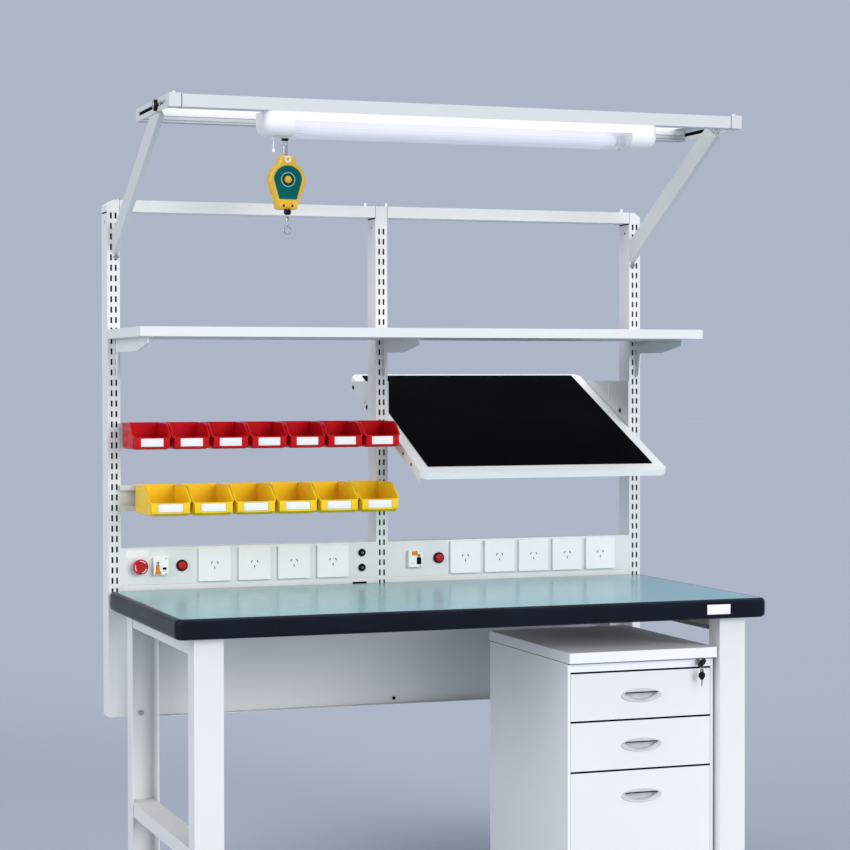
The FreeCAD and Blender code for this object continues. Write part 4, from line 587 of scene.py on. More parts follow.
class TABLE_OT_finishes(bpy.types.Operator):
    """Paint every CAD piece and ease the edges of the listed ones"""

    bl_idname = "work_table.finishes"
    bl_label = "Finishes"

    PAINT = {
        "pale_paint": (
            "front_legs rear_legs side_rails modesty_panel shelf shelf_brackets post_left post_middle post_right "
            "post_ties top_beam trunking_left trunking_right"
        ),
        "rail_paint": (
            "bin_rails lamp_arms tilt_hangers overhead_front_rail overhead_rear_rail "
            "overhead_end_channels overhead_corner_blocks"
        ),
        # The tray and the carcass take the paler copies of their paint, painted light
        "tray_lit_paint": "tilt_frame",
        "pedestal_paint": "drawer_top drawer_middle drawer_bottom",
        "carcass_lit_paint": "pedestal_carcass pedestal_top",
        "white_moulding": "socket_plates breaker_cases lamp_end_caps lamp_base lamp_pull",
        "black_moulding": "levelling_feet trolley jack_sockets button_collars clamp_bolts breaker_lever_right",
        "zinc_steel": (
            "frame_bolts balancer_link balancer_drum balancer_hook drawer_runners lock_key spare_key "
            "handle_top handle_middle handle_bottom"
        ),
        "signal_gloss": "estop_head red_button_left red_button_right",
        "toggle_orange": "breaker_lever_left",
        "red_bin": "red_bins",
        "yellow_bin": "yellow_bins",
        "balancer_enamel": "balancer_case",
        "worktop_laminate_green": "worktop_laminate",
        "worktop_chipboard": "worktop_board",
        "edge_strip": "worktop_edge",
        "black_rubber": "tilt_mat",
        "lamp_cover_clear": "lamp_diffuser",
        "lamp_tube_opal": "lamp_tube",
    }
    EASED = {
        0.0006: (
            "front_legs rear_legs shelf top_beam trunking_left trunking_right overhead_front_rail tilt_frame "
            "side_rails lamp_arms drawer_top drawer_middle drawer_bottom bin_rails lamp_base"
        ),
        0.0010: "breaker_cases pedestal_top",
        0.0012: "overhead_corner_blocks socket_plates",
    }

    def execute(self, context):
        make_finishes(context.scene.table_colours)
        for finish, names in self.PAINT.items():
            for name in names.split():
                materials = frame["nodes"][name].data.materials
                materials.clear()
                materials.append(bpy.data.materials[finish])
        for width, names in self.EASED.items():
            for name in names.split():
                self.ease(frame["nodes"][name], width)
        return {"FINISHED"}

    def ease(self, node, width):
        """Join the CAD mesh's loose triangles into flat faces and round its edges."""
        weld = node.modifiers.new("Joined faces", "WELD")
        weld.merge_threshold = 0.00001
        flat = node.modifiers.new("Flat faces", "DECIMATE")
        flat.decimate_type = "DISSOLVE"
        flat.angle_limit = math.radians(1)
        eased = node.modifiers.new("Eased edges", "BEVEL")
        eased.width = width
        eased.segments = 2
        eased.limit_method = "ANGLE"
        eased.angle_limit = math.radians(40)
        eased.use_clamp_overlap = True
        eased.harden_normals = True


class TABLE_OT_bins(bpy.types.Operator):
    """Model the rows of open-fronted bins with rims and blank cards"""

    bl_idname = "work_table.bins"
    bl_label = "Bins"

    GAP, RIM_RISE, TOE_SETBACK, SHOULDER = 0.002, 0.0015, 0.010, 0.016
    RAIL_GRIP, CARD_DROP = 0.0145, 0.003
    LIP_SHARE, RAKE_SHARE, HOLDER_SHARE = 0.45, 0.34, 0.155
    TONGUE_LEFT, TONGUE_RIGHT = 22, 82

    def execute(self, context):
        self.row("red_bins", "red_bin", "red_plastic", 7)
        self.row("yellow_bins", "yellow_bin", "yellow_plastic", 6)
        return {"FINISHED"}

    def row(self, node, finish, slot, count):
        low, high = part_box(node)
        pitch = (high.x - low.x + self.GAP) / count
        width = pitch - self.GAP
        lip = low.z + self.LIP_SHARE * (high.z - low.z)
        card_foot = lip - self.CARD_DROP - sizes().card_height
        rail = Vector((low.x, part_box("bin_rails")[1].y, high.z))
        bm = bmesh.new()
        self.tub(bm, low, width, rail.y - self.RAIL_GRIP, high.z, lip)
        self.front(bm, Vector((low.x, low.y + sizes().bin_rim, card_foot)), width)
        tongue_end = (low.x + self.TONGUE_RIGHT * MM, high.y, high.z)
        slab(bm, rail + mm(self.TONGUE_LEFT, -15, -2), tongue_end, 0.5)
        first = list(bm.faces)
        for index in range(1, count):
            verts = of_kind(bmesh.ops.duplicate(bm, geom=first)["geom"], BMVert)
            bmesh.ops.translate(bm, verts=verts, vec=X * pitch * index)
        finished(bm, node + "_row", "table", [finish, "card"], (node,))

    def tub(self, bm, low, width, back, top, lip):
        """One bin: a side profile given its width, opened above and in front, rimmed and thickened."""
        fit = sizes()
        rim = fit.bin_rim
        front, brim = low.y + rim, top - self.RIM_RISE
        shoulder = low.y + self.RAKE_SHARE * (back - low.y)
        toe = front + self.TOE_SETBACK
        outline = [(back, low.z), (back, brim), (shoulder, brim), (front, lip), (toe, low.z)]
        centre = low.x + width / 2
        flare = width / (width - 2 * rim)

        def make():
            verts = [bm.verts.new((low.x + rim, y, z)) for y, z in outline]
            bm.faces.new(verts)
            soften(bm, [verts[2]], self.SHOULDER, 5, "VERTICES", False)
            drawn_out(bm, bm.faces[:], X * (width - 2 * rim))
            bmesh.ops.recalc_face_normals(bm, faces=bm.faces)
            ends = [f for f in bm.faces if abs(f.normal.x) > 0.9]
            lower = [f for f in bm.faces if f.normal.z < -0.9 or f.normal.y < -0.9]
            edges = [e for f in ends for e in f.edges if any(g in lower for g in e.link_faces)]
            edges += [e for f in lower for e in f.edges if all(g in lower for g in e.link_faces)]
            soften(bm, list(set(edges)), fit.bin_corner, 3)
            upper = [f for f in bm.faces if f.normal.z > 0.05 and f.calc_center_median().z > lip]
            opening = [f for f in upper if abs(f.normal.x) < 0.05]
            bmesh.ops.delete(bm, geom=opening, context="FACES_ONLY")
            bmesh.ops.delete(bm, geom=[e for e in bm.edges if not e.link_faces], context="EDGES")
            brink = [e for e in bm.edges if e.is_boundary]
            for vert in of_kind(bmesh.ops.extrude_edge_only(bm, edges=brink)["geom"], BMVert):
                vert.co.x = centre + (vert.co.x - centre) * flare
                if vert.co.z < lip + MM:
                    vert.co.y -= rim
                else:
                    vert.co.z += self.RIM_RISE
            bmesh.ops.recalc_face_normals(bm, faces=bm.faces)
            bmesh.ops.solidify(bm, geom=bm.faces[:], thickness=fit.bin_wall)

        shape(bm, make)

    def front(self, bm, spot, width):
        """Card holder on a bin's front: two blocks, a ledge and the blank card between them."""
        wide, tall = width / MM, sizes().card_height / MM
        side = wide * self.HOLDER_SHARE
        for left in (5, wide - 5 - side):
            block(bm, spot, (left, -5.2, -3), (left + side, 6, tall + 2.5), 1.4)
        block(bm, spot, (5, -2.8, -4), (wide - 5, 8, 0), 0.8)
        block(bm, spot, (side + 5.5, -2, 0.5), (wide - side - 5.5, 4, tall), 0.3, 1)


class TABLE_OT_balancer(bpy.types.Operator):
    """Model the spring balancer's case, bumper and hook"""

    bl_idname = "work_table.balancer"
    bl_label = "Spring balancer"

    # Half widths and drops of the case's outline, as shares of its half width and height
    OUTLINE = (
        (0.28, 0.0), (0.37, 0.02), (0.42, 0.06), (0.46, 0.11), (0.55, 0.16), (0.76, 0.24), (0.90, 0.32), (0.98, 0.40),
        (1.0, 0.465), (0.97, 0.55), (0.89, 0.63), (0.76, 0.73), (0.61, 0.89), (0.575, 0.94), (0.55, 0.978), (0.47, 1.0),
    )

    # Steps of the pressed rim: inset and rise. Steps of the sloping back: scale across, scale along and rise
    RIM_STEPS = ((1.6, 6), (3.4, 2.8), (1.4, 1.2))
    BACK_STEPS = ((0.91, 0.985, 15), (0.89, 0.985, 10), (0.97, 0.990, 1))
    STOP_HEIGHT, ROPE_LENGTH = 13.3, 105

    def execute(self, context):
        self.case()
        self.link()
        self.hook()
        return {"FINISHED"}

    def case(self):
        low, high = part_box("balancer_case")
        x, front, back = (low.x + high.x) / 2, low.y, high.y
        half, tall = (high.x - low.x) / 2, high.z - low.z
        rim_depth = sum(rise for _, rise in self.RIM_STEPS) * MM
        back_depth = sum(rise for _, _, rise in self.BACK_STEPS) * MM

        def at(offset, y, drop):
            return Vector((x + offset * MM, y, high.z - tall * drop))

        bm = bmesh.new()
        ring = [
            (x + side * half * out, front + rim_depth, high.z - tall * drop)
            for side, rows in ((1, self.OUTLINE), (-1, self.OUTLINE[::-1]))
            for out, drop in rows
        ]
        body = plate(bm, ring, Y * (back - front - rim_depth - back_depth))
        for face in [f for f in body if f.normal.y < -0.9]:
            self.step(bm, face, self.RIM_STEPS)
        for face in [f for f in body if f.is_valid and f.normal.y > 0.9]:
            self.taper(bm, face, self.BACK_STEPS)
        self.badge(bm, at(0, front + 0.2 * MM, 0.46), half * 0.74, tall * 0.355)
        hub = at(0, front, 0.455)
        turned(bm, hub, -Y, [(0, 7.5), (4, 7), (8.5, 4.5), (10, 0.8), (10, -1), (0, -1)])
        for inner, outer, finish in ((10.2, 12.2, 4), (16.8, 17.8, 2)):
            turned(bm, hub, -Y, [(inner, -1), (inner, 1.5), (outer, 1.5), (outer, -1)], finish)
        for turn, start in ((-Y, front), (Y, back)):
            eye = at(0, start, 0.085)
            turned(bm, eye, turn, [(4, -1), (4, 1), (5, 1.6), (7.6, 1.6), (8.4, 0.8), (8.4, -1)], 2)
            turned(bm, eye, turn, [(0, 0.2), (4.1, 0.2), (4.1, -1), (0, -1)], 0, 24)
        for offset in (-11, 11):
            turned(bm, at(offset, front, 0.935), -Y, [(0, 0.8), (2.4, 0.8), (3, 0), (3, -2), (0, -2)], 4)
        slab(bm, at(-10, front - 1.4 * MM, 0.90), at(10, front + 2 * MM, 0.865), 1)
        for offset, drop in ((-26, 0.40), (26, 0.40), (-12, 0.84), (12, 0.84)):
            turned(bm, at(offset, back, drop), Y, [(0, 1.2), (3, 1), (3.6, 0), (3.6, -2), (0, -2)], 3)
        finishes = ["balancer_enamel", "balancer_badge", "card", "zinc_steel", "shadow_black"]
        finished(bm, "balancer_shell", "balancer", finishes, ("balancer_case",))

    def step(self, bm, face, steps):
        """Raise a face in steps, for the pressed rim of the case."""
        outward = face.normal.copy()
        for inset, rise in steps:
            bmesh.ops.inset_region(bm, faces=[face], thickness=inset * MM, depth=0.0, use_even_offset=True)
            bmesh.ops.translate(bm, verts=face.verts[:], vec=outward * (rise * MM))

    def taper(self, bm, face, steps):
        """Draw a face out in steps that narrow towards its middle, for the sloping back of the case."""
        outward = face.normal.copy()
        for across, along, rise in steps:
            bmesh.ops.inset_region(bm, faces=[face], thickness=0.2 * MM, depth=0.0, use_even_offset=True)
            centre = face.calc_center_bounds()
            for vert in face.verts:
                vert.co.x = centre.x + (vert.co.x - centre.x) * across
                vert.co.z = centre.z + (vert.co.z - centre.z) * along
            bmesh.ops.translate(bm, verts=face.verts[:], vec=outward * (rise * MM))

    def badge(self, bm, centre, radius, drop):
        """Plain badge: a half disc whose straight edge is drawn down to a narrower foot."""

        def make():
            ring = bmesh.ops.create_circle(
                bm, segments=48, radius=radius, cap_ends=True, matrix=Matrix.Translation(centre) @ UPRIGHT
            )["verts"]
            geom = ring + edges_at(ring) + [ring[0].link_faces[0]]
            cut = bmesh.ops.bisect_plane(bm, geom=geom, plane_co=centre, plane_no=-Z, clear_outer=True, dist=NEAR)
            foot = bmesh.ops.extrude_edge_only(bm, edges=of_kind(cut["geom_cut"], BMEdge))["geom"]
            verts = of_kind(foot, BMVert)
            bmesh.ops.translate(bm, verts=verts, vec=-Z * drop)
            for vert in verts:
                vert.co.x = centre.x + (vert.co.x - centre.x) * 0.62
            faces = {f for v in verts for f in v.link_faces}
            faces |= {f for f in bm.faces if abs(f.calc_center_median().y - centre.y) < NEAR}
            drawn_out(bm, list(faces), -Y * MM)

        shape(bm, make, 1)

    def link(self):
        """Steel snap link between the trolley and the case's ear: a long loop round a sleeve."""
        low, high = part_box("balancer_link")
        x, y, _ = middle("balancer_link")
        bend, thick, margin = 4.8, 1.7, 2.7
        upper, lower = high.z - (bend + margin) * MM, low.z + (bend + margin) * MM
        bm = bmesh.new()
        bent_rod(bm, (x, y, upper), Y, mm(-bend, 0, 0), thick, math.pi)
        bent_rod(bm, (x, y, lower), Y, mm(bend, 0, 0), thick, math.pi)
        for side in (-bend, bend):
            rod(bm, (x + side * MM, y, lower), Z, thick, (upper - lower) / MM, 0, 12)
        sleeve = [(0, 0), (5.8, 0), (6.6, 1.2), (6.6, 23), (5.8, 24.2), (0, 24.2)]
        turned(bm, (x, y, lower + 16 * MM), Z, sleeve, 0, 24)
        finished(bm, "balancer_snap_link", "balancer", ["satin_chrome"], ("balancer_link",))

    def hook(self):
        """Rubber stop, wire rope, swivel and snap hook."""
        x, y, _ = middle("balancer_hook")
        foot = Vector((x, y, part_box("balancer_hook")[0].z))
        stop = (x, y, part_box("balancer_case")[0].z - self.STOP_HEIGHT * MM)
        bm = bmesh.new()
        turned(bm, stop, Z, [(0, 0), (6, 0), (8.5, 2), (9, 5), (9, 10), (8, 12.5), (0, 13)])
        rod(bm, stop, Z, 1.1, self.ROPE_LENGTH, 1, 16)
        swivel = [
            (0, -1), (2.2, 0), (3.4, 3), (3.4, 7), (2.2, 9), (2.2, 12), (4, 14), (4, 22), (2.2, 24.5), (0, 26),
        ]
        turned(bm, foot + mm(0, 0, 20), Z, swivel, 1, 24)
        bent_rod(bm, foot + mm(0, 0, 11), Y, mm(0, 0, 9), 2, math.radians(300), 1)
        tip = [(0, -2.6), (2, -1.6), (2.6, 0), (2, 1.6), (0, 2.6)]
        turned(bm, foot + mm(-7.8, 0, 15.5), Z, tip, 1, 16)
        block(bm, foot, (-7.5, -1.1, 15.8), (-5.8, 1.1, 21.2), 0.4, 1)
        finished(bm, "balancer_snap_hook", "hook", ["black_moulding", "satin_chrome"], ("balancer_hook",))


class TABLE_OT_clamp_knobs(bpy.types.Operator):
    """Model the star knobs and bolts that clamp the overhead frame"""

    bl_idname = "work_table.clamp_knobs"
    bl_label = "Clamp knobs"

    KNOB_HEIGHT, SHANK_REACH = 0.011, 0.0145

    def execute(self, context):
        low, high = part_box("clamp_bolts")
        _, y, z = middle("clamp_bolts")
        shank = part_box("overhead_end_channels")[1].x - self.SHANK_REACH
        nut = [(0, 0), (7, 0), (7.8, 1), (7.8, 6), (7, 7), (0, 7)]
        bm = bmesh.new()
        for turn in (-1, 1):
            self.knob(bm, Vector((turn * (high.x - self.KNOB_HEIGHT), y, z)), X * turn, (high.z - low.z) / 2)
            rod(bm, (turn * shank, y, z), X * turn, 4, 26, 1, 24)
            turned(bm, (turn * shank, y, z), X * turn, nut, 1, 6)
        finishes = ["black_moulding", "zinc_steel"]
        finished(bm, "overhead_clamp_knobs", "clamps", finishes, ("clamp_bolts",))
        return {"FINISHED"}

    def knob(self, bm, base, outward, radius):
        """A five-lobed knob: a circle with every second pair of points drawn in, thickened and eased."""

        def make():
            matrix = Matrix.Translation(base) @ outward.to_track_quat("Z", "Y").to_matrix().to_4x4()
            ring = bmesh.ops.create_circle(bm, segments=20, radius=radius, cap_ends=True, matrix=matrix)["verts"]
            for index, vert in enumerate(ring):
                if index % 4 in (0, 1):
                    vert.co = base + (vert.co - base) * (1 - sizes().knob_lobe / radius)
            caps = drawn_out(bm, [ring[0].link_faces[0]], outward * (8 * MM))
            soften(bm, edges_of(caps), 2 * MM, 3)

        shape(bm, make)
        turned(bm, base, outward, [(0, 10.8), (6.6, 10.6), (8.2, 9.4), (8.2, 7), (0, 7)], 1, 24)


class TABLE_OT_controls(bpy.types.Operator):
    """Model the emergency stop, push buttons, breakers' toggles and earthing jacks"""

    bl_idname = "work_table.controls"
    bl_label = "Controls"

    LEVER_RISE, LEVER_AXLE, LEVER_TURN = 0.0475, 0.007, 25
    STOP_HEIGHT, BUTTON_HEIGHT, JACK_RADIUS = 0.0136, 0.0066, 0.0105

    def execute(self, context):
        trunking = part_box("trunking_left")[0]
        self.face, self.level = trunking.y, trunking.z + self.LEVER_RISE
        self.emergency_stop()
        self.buttons()
        self.toggles()
        self.breaker_marks()
        self.jacks()
        return {"FINISHED"}

    def emergency_stop(self):
        x, _, z = middle("estop_head")
        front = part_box("estop_head")[0].y
        base = (x, front + self.STOP_HEIGHT, z)
        head = [
            (0, 12.4), (10.5, 12.2), (12.5, 13.4), (16, 13.6), (18.5, 12.5), (20, 9.8), (20, 5.5), (18.8, 3),
            (15, 1.2), (10.5, 0), (0, 0),
        ]
        bm = bmesh.new()
        turned(bm, base, -Y, head, 0, 56)
        rod(bm, base, Y, 4, 17)
        for start in (20, 140, 260):
            self.arc(bm, Vector((x, front + 0.15 * MM, z)), math.radians(start))
        finished(bm, "emergency_stop", "estop", ["signal_gloss", "card"], ("estop_head",))

    def arc(self, bm, centre, start):
        """A raised white arc on the head: a short bar swept round its middle."""
        inner, outer = (Matrix.Rotation(start, 4, Y) @ mm(radius, 0, 0) for radius in (13.8, 16.4))

        def make():
            ends = ((inner, 0.6), (outer, 0.6), (outer, -0.1), (inner, -0.1))
            verts = [bm.verts.new(centre + point + mm(0, lift, 0)) for point, lift in ends]
            face = bm.faces.new(verts)
            geom = verts + face.edges[:] + [face]
            bmesh.ops.spin(bm, geom=geom, cent=centre, axis=Y, angle=math.radians(62), steps=10)

        shape(bm, make, 1)

    def buttons(self):
        bm = bmesh.new()
        for side in ("left", "right"):
            node = f"red_button_{side}"
            x, _, z = middle(node)
            base = (x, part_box(node)[0].y + self.BUTTON_HEIGHT, z)
            cap = bmesh.new()
            turned(cap, base, -Y, [(0, 6.6), (6, 6.5), (9.5, 5.8), (10.8, 4.6), (10.9, 0), (0, 0)], 0, 48)
            rod(cap, base, Y, 4, 10)
            finished(cap, f"push_button_{side}", f"{side}_button", ["signal_gloss"], (node,))
            bezel = [(11.3, 0), (11.3, 5.6), (12.2, 6), (14, 5.6), (15, 4), (15, 0)]
            turned(bm, (x, self.face, z), -Y, bezel, 0, 48)
        x, _, z = middle("estop_head")
        turned(bm, (x, self.face, z), -Y, [(4.6, 0), (4.6, 6), (10.5, 6), (13, 5), (13, 0)], 1, 48)
        finishes = ["black_moulding", "white_moulding"]
        finished(bm, "button_bezels", "table", finishes, ("button_collars",))

    def toggles(self):
        outline = ((-2.2, 1), (2.2, 1), (3, -4), (3.9, -9), (3.3, -11.8), (-3.3, -11.8), (-3.9, -9), (-3, -4))
        for side, finish, slot in (
            ("left", "toggle_orange", "lever_orange"),
            ("right", "black_moulding", "black_plastic"),
        ):
            node = f"breaker_lever_{side}"
            hub = Vector((middle(node).x, self.face - self.LEVER_AXLE, self.level))
            bm = bmesh.new()
            turned(bm, hub - mm(4, 0, 0), X, [(0, 0), (2.6, 0), (3, 0.4), (3, 7.6), (2.6, 8), (0, 8)], 0, 24)
            grip = plate(bm, [hub + mm(px, py, -2.8) for px, py in outline], mm(0, 0, 5.6), 0, 1.2)
            moved_faces(bm, grip, about(hub, X, self.LEVER_TURN))
            finished(bm, f"breaker_toggle_{side}", f"{side}_lever", [finish], (node,))

    def breaker_marks(self):
        """Windows, black lever slots that are painted shade, and a plain orange tab on the two breaker fronts."""
        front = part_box("breaker_cases")[0].y
        left, right = (
            Vector((middle(f"breaker_lever_{side}").x + offset * MM, front, self.level))
            for side, offset in (("left", 9), ("right", -9))
        )
        screw = [(0, 0.4), (1.6, 0.4), (2, 0), (2, -1), (0, -1)]
        tab = ((-11, -4), (-6, -4), (1, -19), (-1, -21), (-15, -21), (-17, -19))
        bm = bmesh.new()
        plate(bm, [left + mm(px, 1, pz) for px, pz in tab], mm(0, -2.2, 0), 0, 0.6, 1.5)
        # black blocks: painted shade in the lever slots
        block(bm, left, (4, -0.6, -9), (14, 1, -3), 0.3, 1)
        block(bm, left, (3, -0.3, -13), (15, 1, -12.2), 0.1, 2)
        block(bm, right, (-11, -1, 9), (6, 1, 20.5), 0.5)
        block(bm, right, (3, -1.4, -15), (15.5, 1, 3), 0.6, 1)
        block(bm, right, (-14, -0.3, -12), (-4, 1, -11.2), 0.1, 2)
        for spot in (left, right):
            for level in (-19.5, 19.5):
                turned(bm, spot + mm(13, 0, level), -Y, screw, 3, 20)
        finishes = ["toggle_orange", "shadow_black", "black_moulding", "zinc_steel"]
        finished(bm, "breaker_marks", "table", finishes)

    def jacks(self):
        low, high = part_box("jack_sockets")
        body = [(2.1, 0), (2.1, 5.6), (3, 6), (8.8, 6), (9.8, 5), (9.8, 2.4), (10.5, 2), (10.5, 0)]
        bm = bmesh.new()
        for z in (low.z + self.JACK_RADIUS, high.z - self.JACK_RADIUS):
            spot = ((low.x + high.x) / 2, high.y, z)
            turned(bm, spot, -Y, body, 0, 36)
            turned(bm, spot, -Y, [(2, 4), (2, 5.6), (2.7, 6.3), (3.4, 6.3), (3.4, 4)], 1, 28)
            turned(bm, spot, -Y, [(10, 0), (10, 1.6), (11.2, 1.6), (11.7, 1), (11.7, 0)], 2, 36)
        finishes = ["black_moulding", "zinc_steel", "white_moulding"]
        finished(bm, "earthing_jacks", "table", finishes, ("jack_sockets",))


class TABLE_OT_sockets(bpy.types.Operator):
    """Line the sockets' slots with painted shade and fit two blank cards"""

    bl_idname = "work_table.sockets"
    bl_label = "Sockets and cards"

    # For each trunking: the first socket and the pitch as shares of its run, and the number of sockets
    RUNS = (("trunking_left", 0.3557, 0.1555, 4), ("trunking_right", 0.3094, 0.1407, 5))
    SLOT_DEPTH = 0.004
    # Offset, rise and turn in degrees of a socket's three slots
    SLOTS = ((-8, 5, 30), (8, 5, -30), (0, -8.5, 0))

    def execute(self, context):
        self.slot_shade()
        self.cards()
        return {"FINISHED"}

    def slot_shade(self):
        """Black blocks in every socket slot: painted shade of the slot's depth."""
        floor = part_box("socket_plates")[0].y + self.SLOT_DEPTH
        level = middle("trunking_left").z
        bm = bmesh.new()
        for node, first, pitch, count in self.RUNS:
            low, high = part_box(node)
            for index in range(count):
                socket = Vector((low.x + (high.x - low.x) * (first + index * pitch), floor, level))
                for offset, rise, turn in self.SLOTS:
                    spot = socket + mm(offset, 0, rise)
                    made = block(bm, spot, (-1.2, -2.2, -3.5), (1.2, 0.5, 3.5), 0.2)
                    moved_faces(bm, made, about(spot, Y, turn))
        finished(bm, "socket_slot_shade", "table", ["shadow_black"])

    def cards(self):
        """Blank cards: one over the emergency stop, one on the worktop's band."""
        stop = middle("estop_head")
        stop.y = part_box("trunking_left")[0].y
        low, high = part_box("worktop_edge")
        bm = bmesh.new()
        block(bm, stop, (-33, -0.5, 22), (26, 0.2, 42), 0.2)
        block(bm, Vector((high.x, low.y, low.z)), (-168, -0.4, 12), (-105, 0.6, 36), 0.2)
        finished(bm, "blank_cards", "table", ["card"])


class TABLE_OT_handles(bpy.types.Operator):
    """Model the recessed pulls of the three drawers"""

    bl_idname = "work_table.handles"
    bl_label = "Drawer pulls"

    PROUD, SLOT_DROP = 0.0015, 0.0052

    def execute(self, context):
        for level, body in DRAWERS:
            self.pull(f"handle_{level}", body)
        return {"FINISHED"}

    def lens(self, bm, centre, half, rise, drop):
        """A circle drawn out to a lens: one arch above its centre, another below."""
        matrix = Matrix.Translation(centre) @ UPRIGHT
        ring = bmesh.ops.create_circle(bm, segments=64, radius=half, matrix=matrix)["verts"]
        for vert in ring:
            level = (vert.co.z - centre.z) / half
            vert.co.z = centre.z + level * (rise if level > 0 else drop) * MM
        return edges_at(ring)

    def pull(self, node, body):
        """A rim and a cup behind it, bridged from lens to lens and closed at the back."""
        low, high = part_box(node)
        fit = sizes()
        half = (high.x - low.x) / 2
        spot = Vector(((low.x + high.x) / 2, low.y + self.PROUD, high.z - self.SLOT_DROP))
        wide, cup = half / MM, fit.handle_cup / MM
        tall = (fit.handle_arch + fit.handle_rim) / 2 / MM
        sink = fit.handle_rim / MM - tall
        sections = (  # depth, inset, drop of the centre, arch above, arch below
            (13.2, wide * 0.24, 0, 0.8, cup - 2.4),
            (10.8, wide * 0.18, 0, 1.2, cup + 1),
            (0.4, wide * 0.165, 0, 1.6, cup + 1.6),
            (0, 0, sink, tall, tall),
            (-2.2, 0.5, sink, tall - 0.5, tall - 0.5),
            (-3, 1.4, sink, tall - 1.4, tall - 1.4),
            (-2.2, wide * 0.165, 0, 1.2, cup + 2.4),
            (-0.6, wide * 0.175, 0, 0.6, cup + 1),
            (10, wide * 0.195, 0, 0.4, cup),
            (12.2, wide * 0.25, 0, 0.2, cup - 3),
        )
        bm = bmesh.new()

        def make():
            loops = [
                self.lens(bm, spot + mm(0, depth, -lower), half - inset * MM, rise, drop)
                for depth, inset, lower, rise, drop in sections
            ]
            for first, second in zip(loops, loops[1:]):
                bmesh.ops.bridge_loops(bm, edges=first + second)
            for end in (loops[0], loops[-1]):
                bmesh.ops.contextual_create(bm, geom=end)

        shape(bm, make)
        # black strip under the upper rim: painted shade of the recess
        block(bm, spot, (-wide * 0.80, -2.6, -1.8), (wide * 0.80, 2, 0), 0.4, 1)
        finished(bm, node + "_pull", body, ["pull_satin", "shadow_black"], (node,), 50.0)


class TABLE_OT_keys(bpy.types.Operator):
    """Model the lock with its key and the spare key on a ring"""

    bl_idname = "work_table.keys"
    bl_label = "Lock and keys"

    KEY_TURN, RING_DROP, HEAD_DROP = 40, 10.1, 21.6

    def execute(self, context):
        self.lock()
        self.spare()
        return {"FINISHED"}

    def bow(self, bm, centre, axis, radius, thick, hole):
        """A round key bow with a hole and eased edges, spun as a ring."""
        half, ease, eye = thick / 2, 0.8, 0.4
        ring = [
            (hole, eye - half), (hole + eye, -half), (radius - ease, -half), (radius, ease - half),
            (radius, half - ease), (radius - ease, half), (hole + eye, half), (hole, half - eye),
        ]
        return turned(bm, centre, axis, ring, 0, 36)

    def lock(self):
        x, _, z = middle("lock_key")
        spot = Vector((x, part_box("pedestal_carcass")[0].y, z))
        plug = [
            (0, 2.8), (5, 2.8), (5.6, 2.2), (6.4, 2.2), (7, 3), (7.8, 2.8), (8, 1.8), (8, -13.5), (0, -13.5),
        ]
        bm = bmesh.new()
        turned(bm, spot, -Y, plug, 1)
        key = block(bm, spot, (-1.2, -12.5, -4), (1.2, -1.5, 4), 0.3, 1)
        key += self.bow(bm, spot - mm(0, 22.2, 0), X, 12.6, 4.8, 2.6)
        key += block(bm, spot, (-2, -15, -6.2), (2, -9.8, 6.2), 0.8)
        moved_faces(bm, key, about(spot, Y, self.KEY_TURN))
        finished(bm, "lock_with_key", "lock", ["black_moulding", "satin_chrome"], ("lock_key",))

    def spare(self):
        low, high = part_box("spare_key")
        ring = middle("spare_key")
        ring.z = high.z - self.RING_DROP * MM
        bow = ring - mm(0, 0, self.HEAD_DROP)
        tip = (low.z - bow.z) / MM
        head = [(0, 1.8), (8.2, 1.8), (9, 1), (9, -1), (8.2, -1.8), (0, -1.8)]
        neck = ((-5.4, -5), (5.4, -5), (3.4, -10.8), (-3.4, -10.8))
        blade = (
            (-2.4, -7), (2.4, -7), (2.4, -12.5), (1.7, -14.5), (2.4, -16.5), (1.5, -19), (2.2, -21), (1.5, -23.5),
            (0.8, tip), (-1.7, tip + 1.2),
        )
        across = Vector((1, 1, 0)).normalized()
        bm = bmesh.new()
        bent_rod(bm, ring, across.cross(Z), mm(0, 0, 9.2), 0.8, FULL_TURN, 1, 40, 10)
        self.bow(bm, ring - mm(0, 0, 10.4), Y, 4.6, 3, 2)
        turned(bm, bow, Y, head, 0, 36)
        plate(bm, [bow + mm(px, -1.6, pz) for px, pz in neck], mm(0, 3.2, 0), 0, 0.6)
        plate(bm, [bow + mm(px, -0.6, pz) for px, pz in blade], mm(0, 1.2, 0), 1, 0.2)
        finished(bm, "spare_key_on_ring", "spare", ["black_moulding", "satin_chrome"], ("spare_key",))


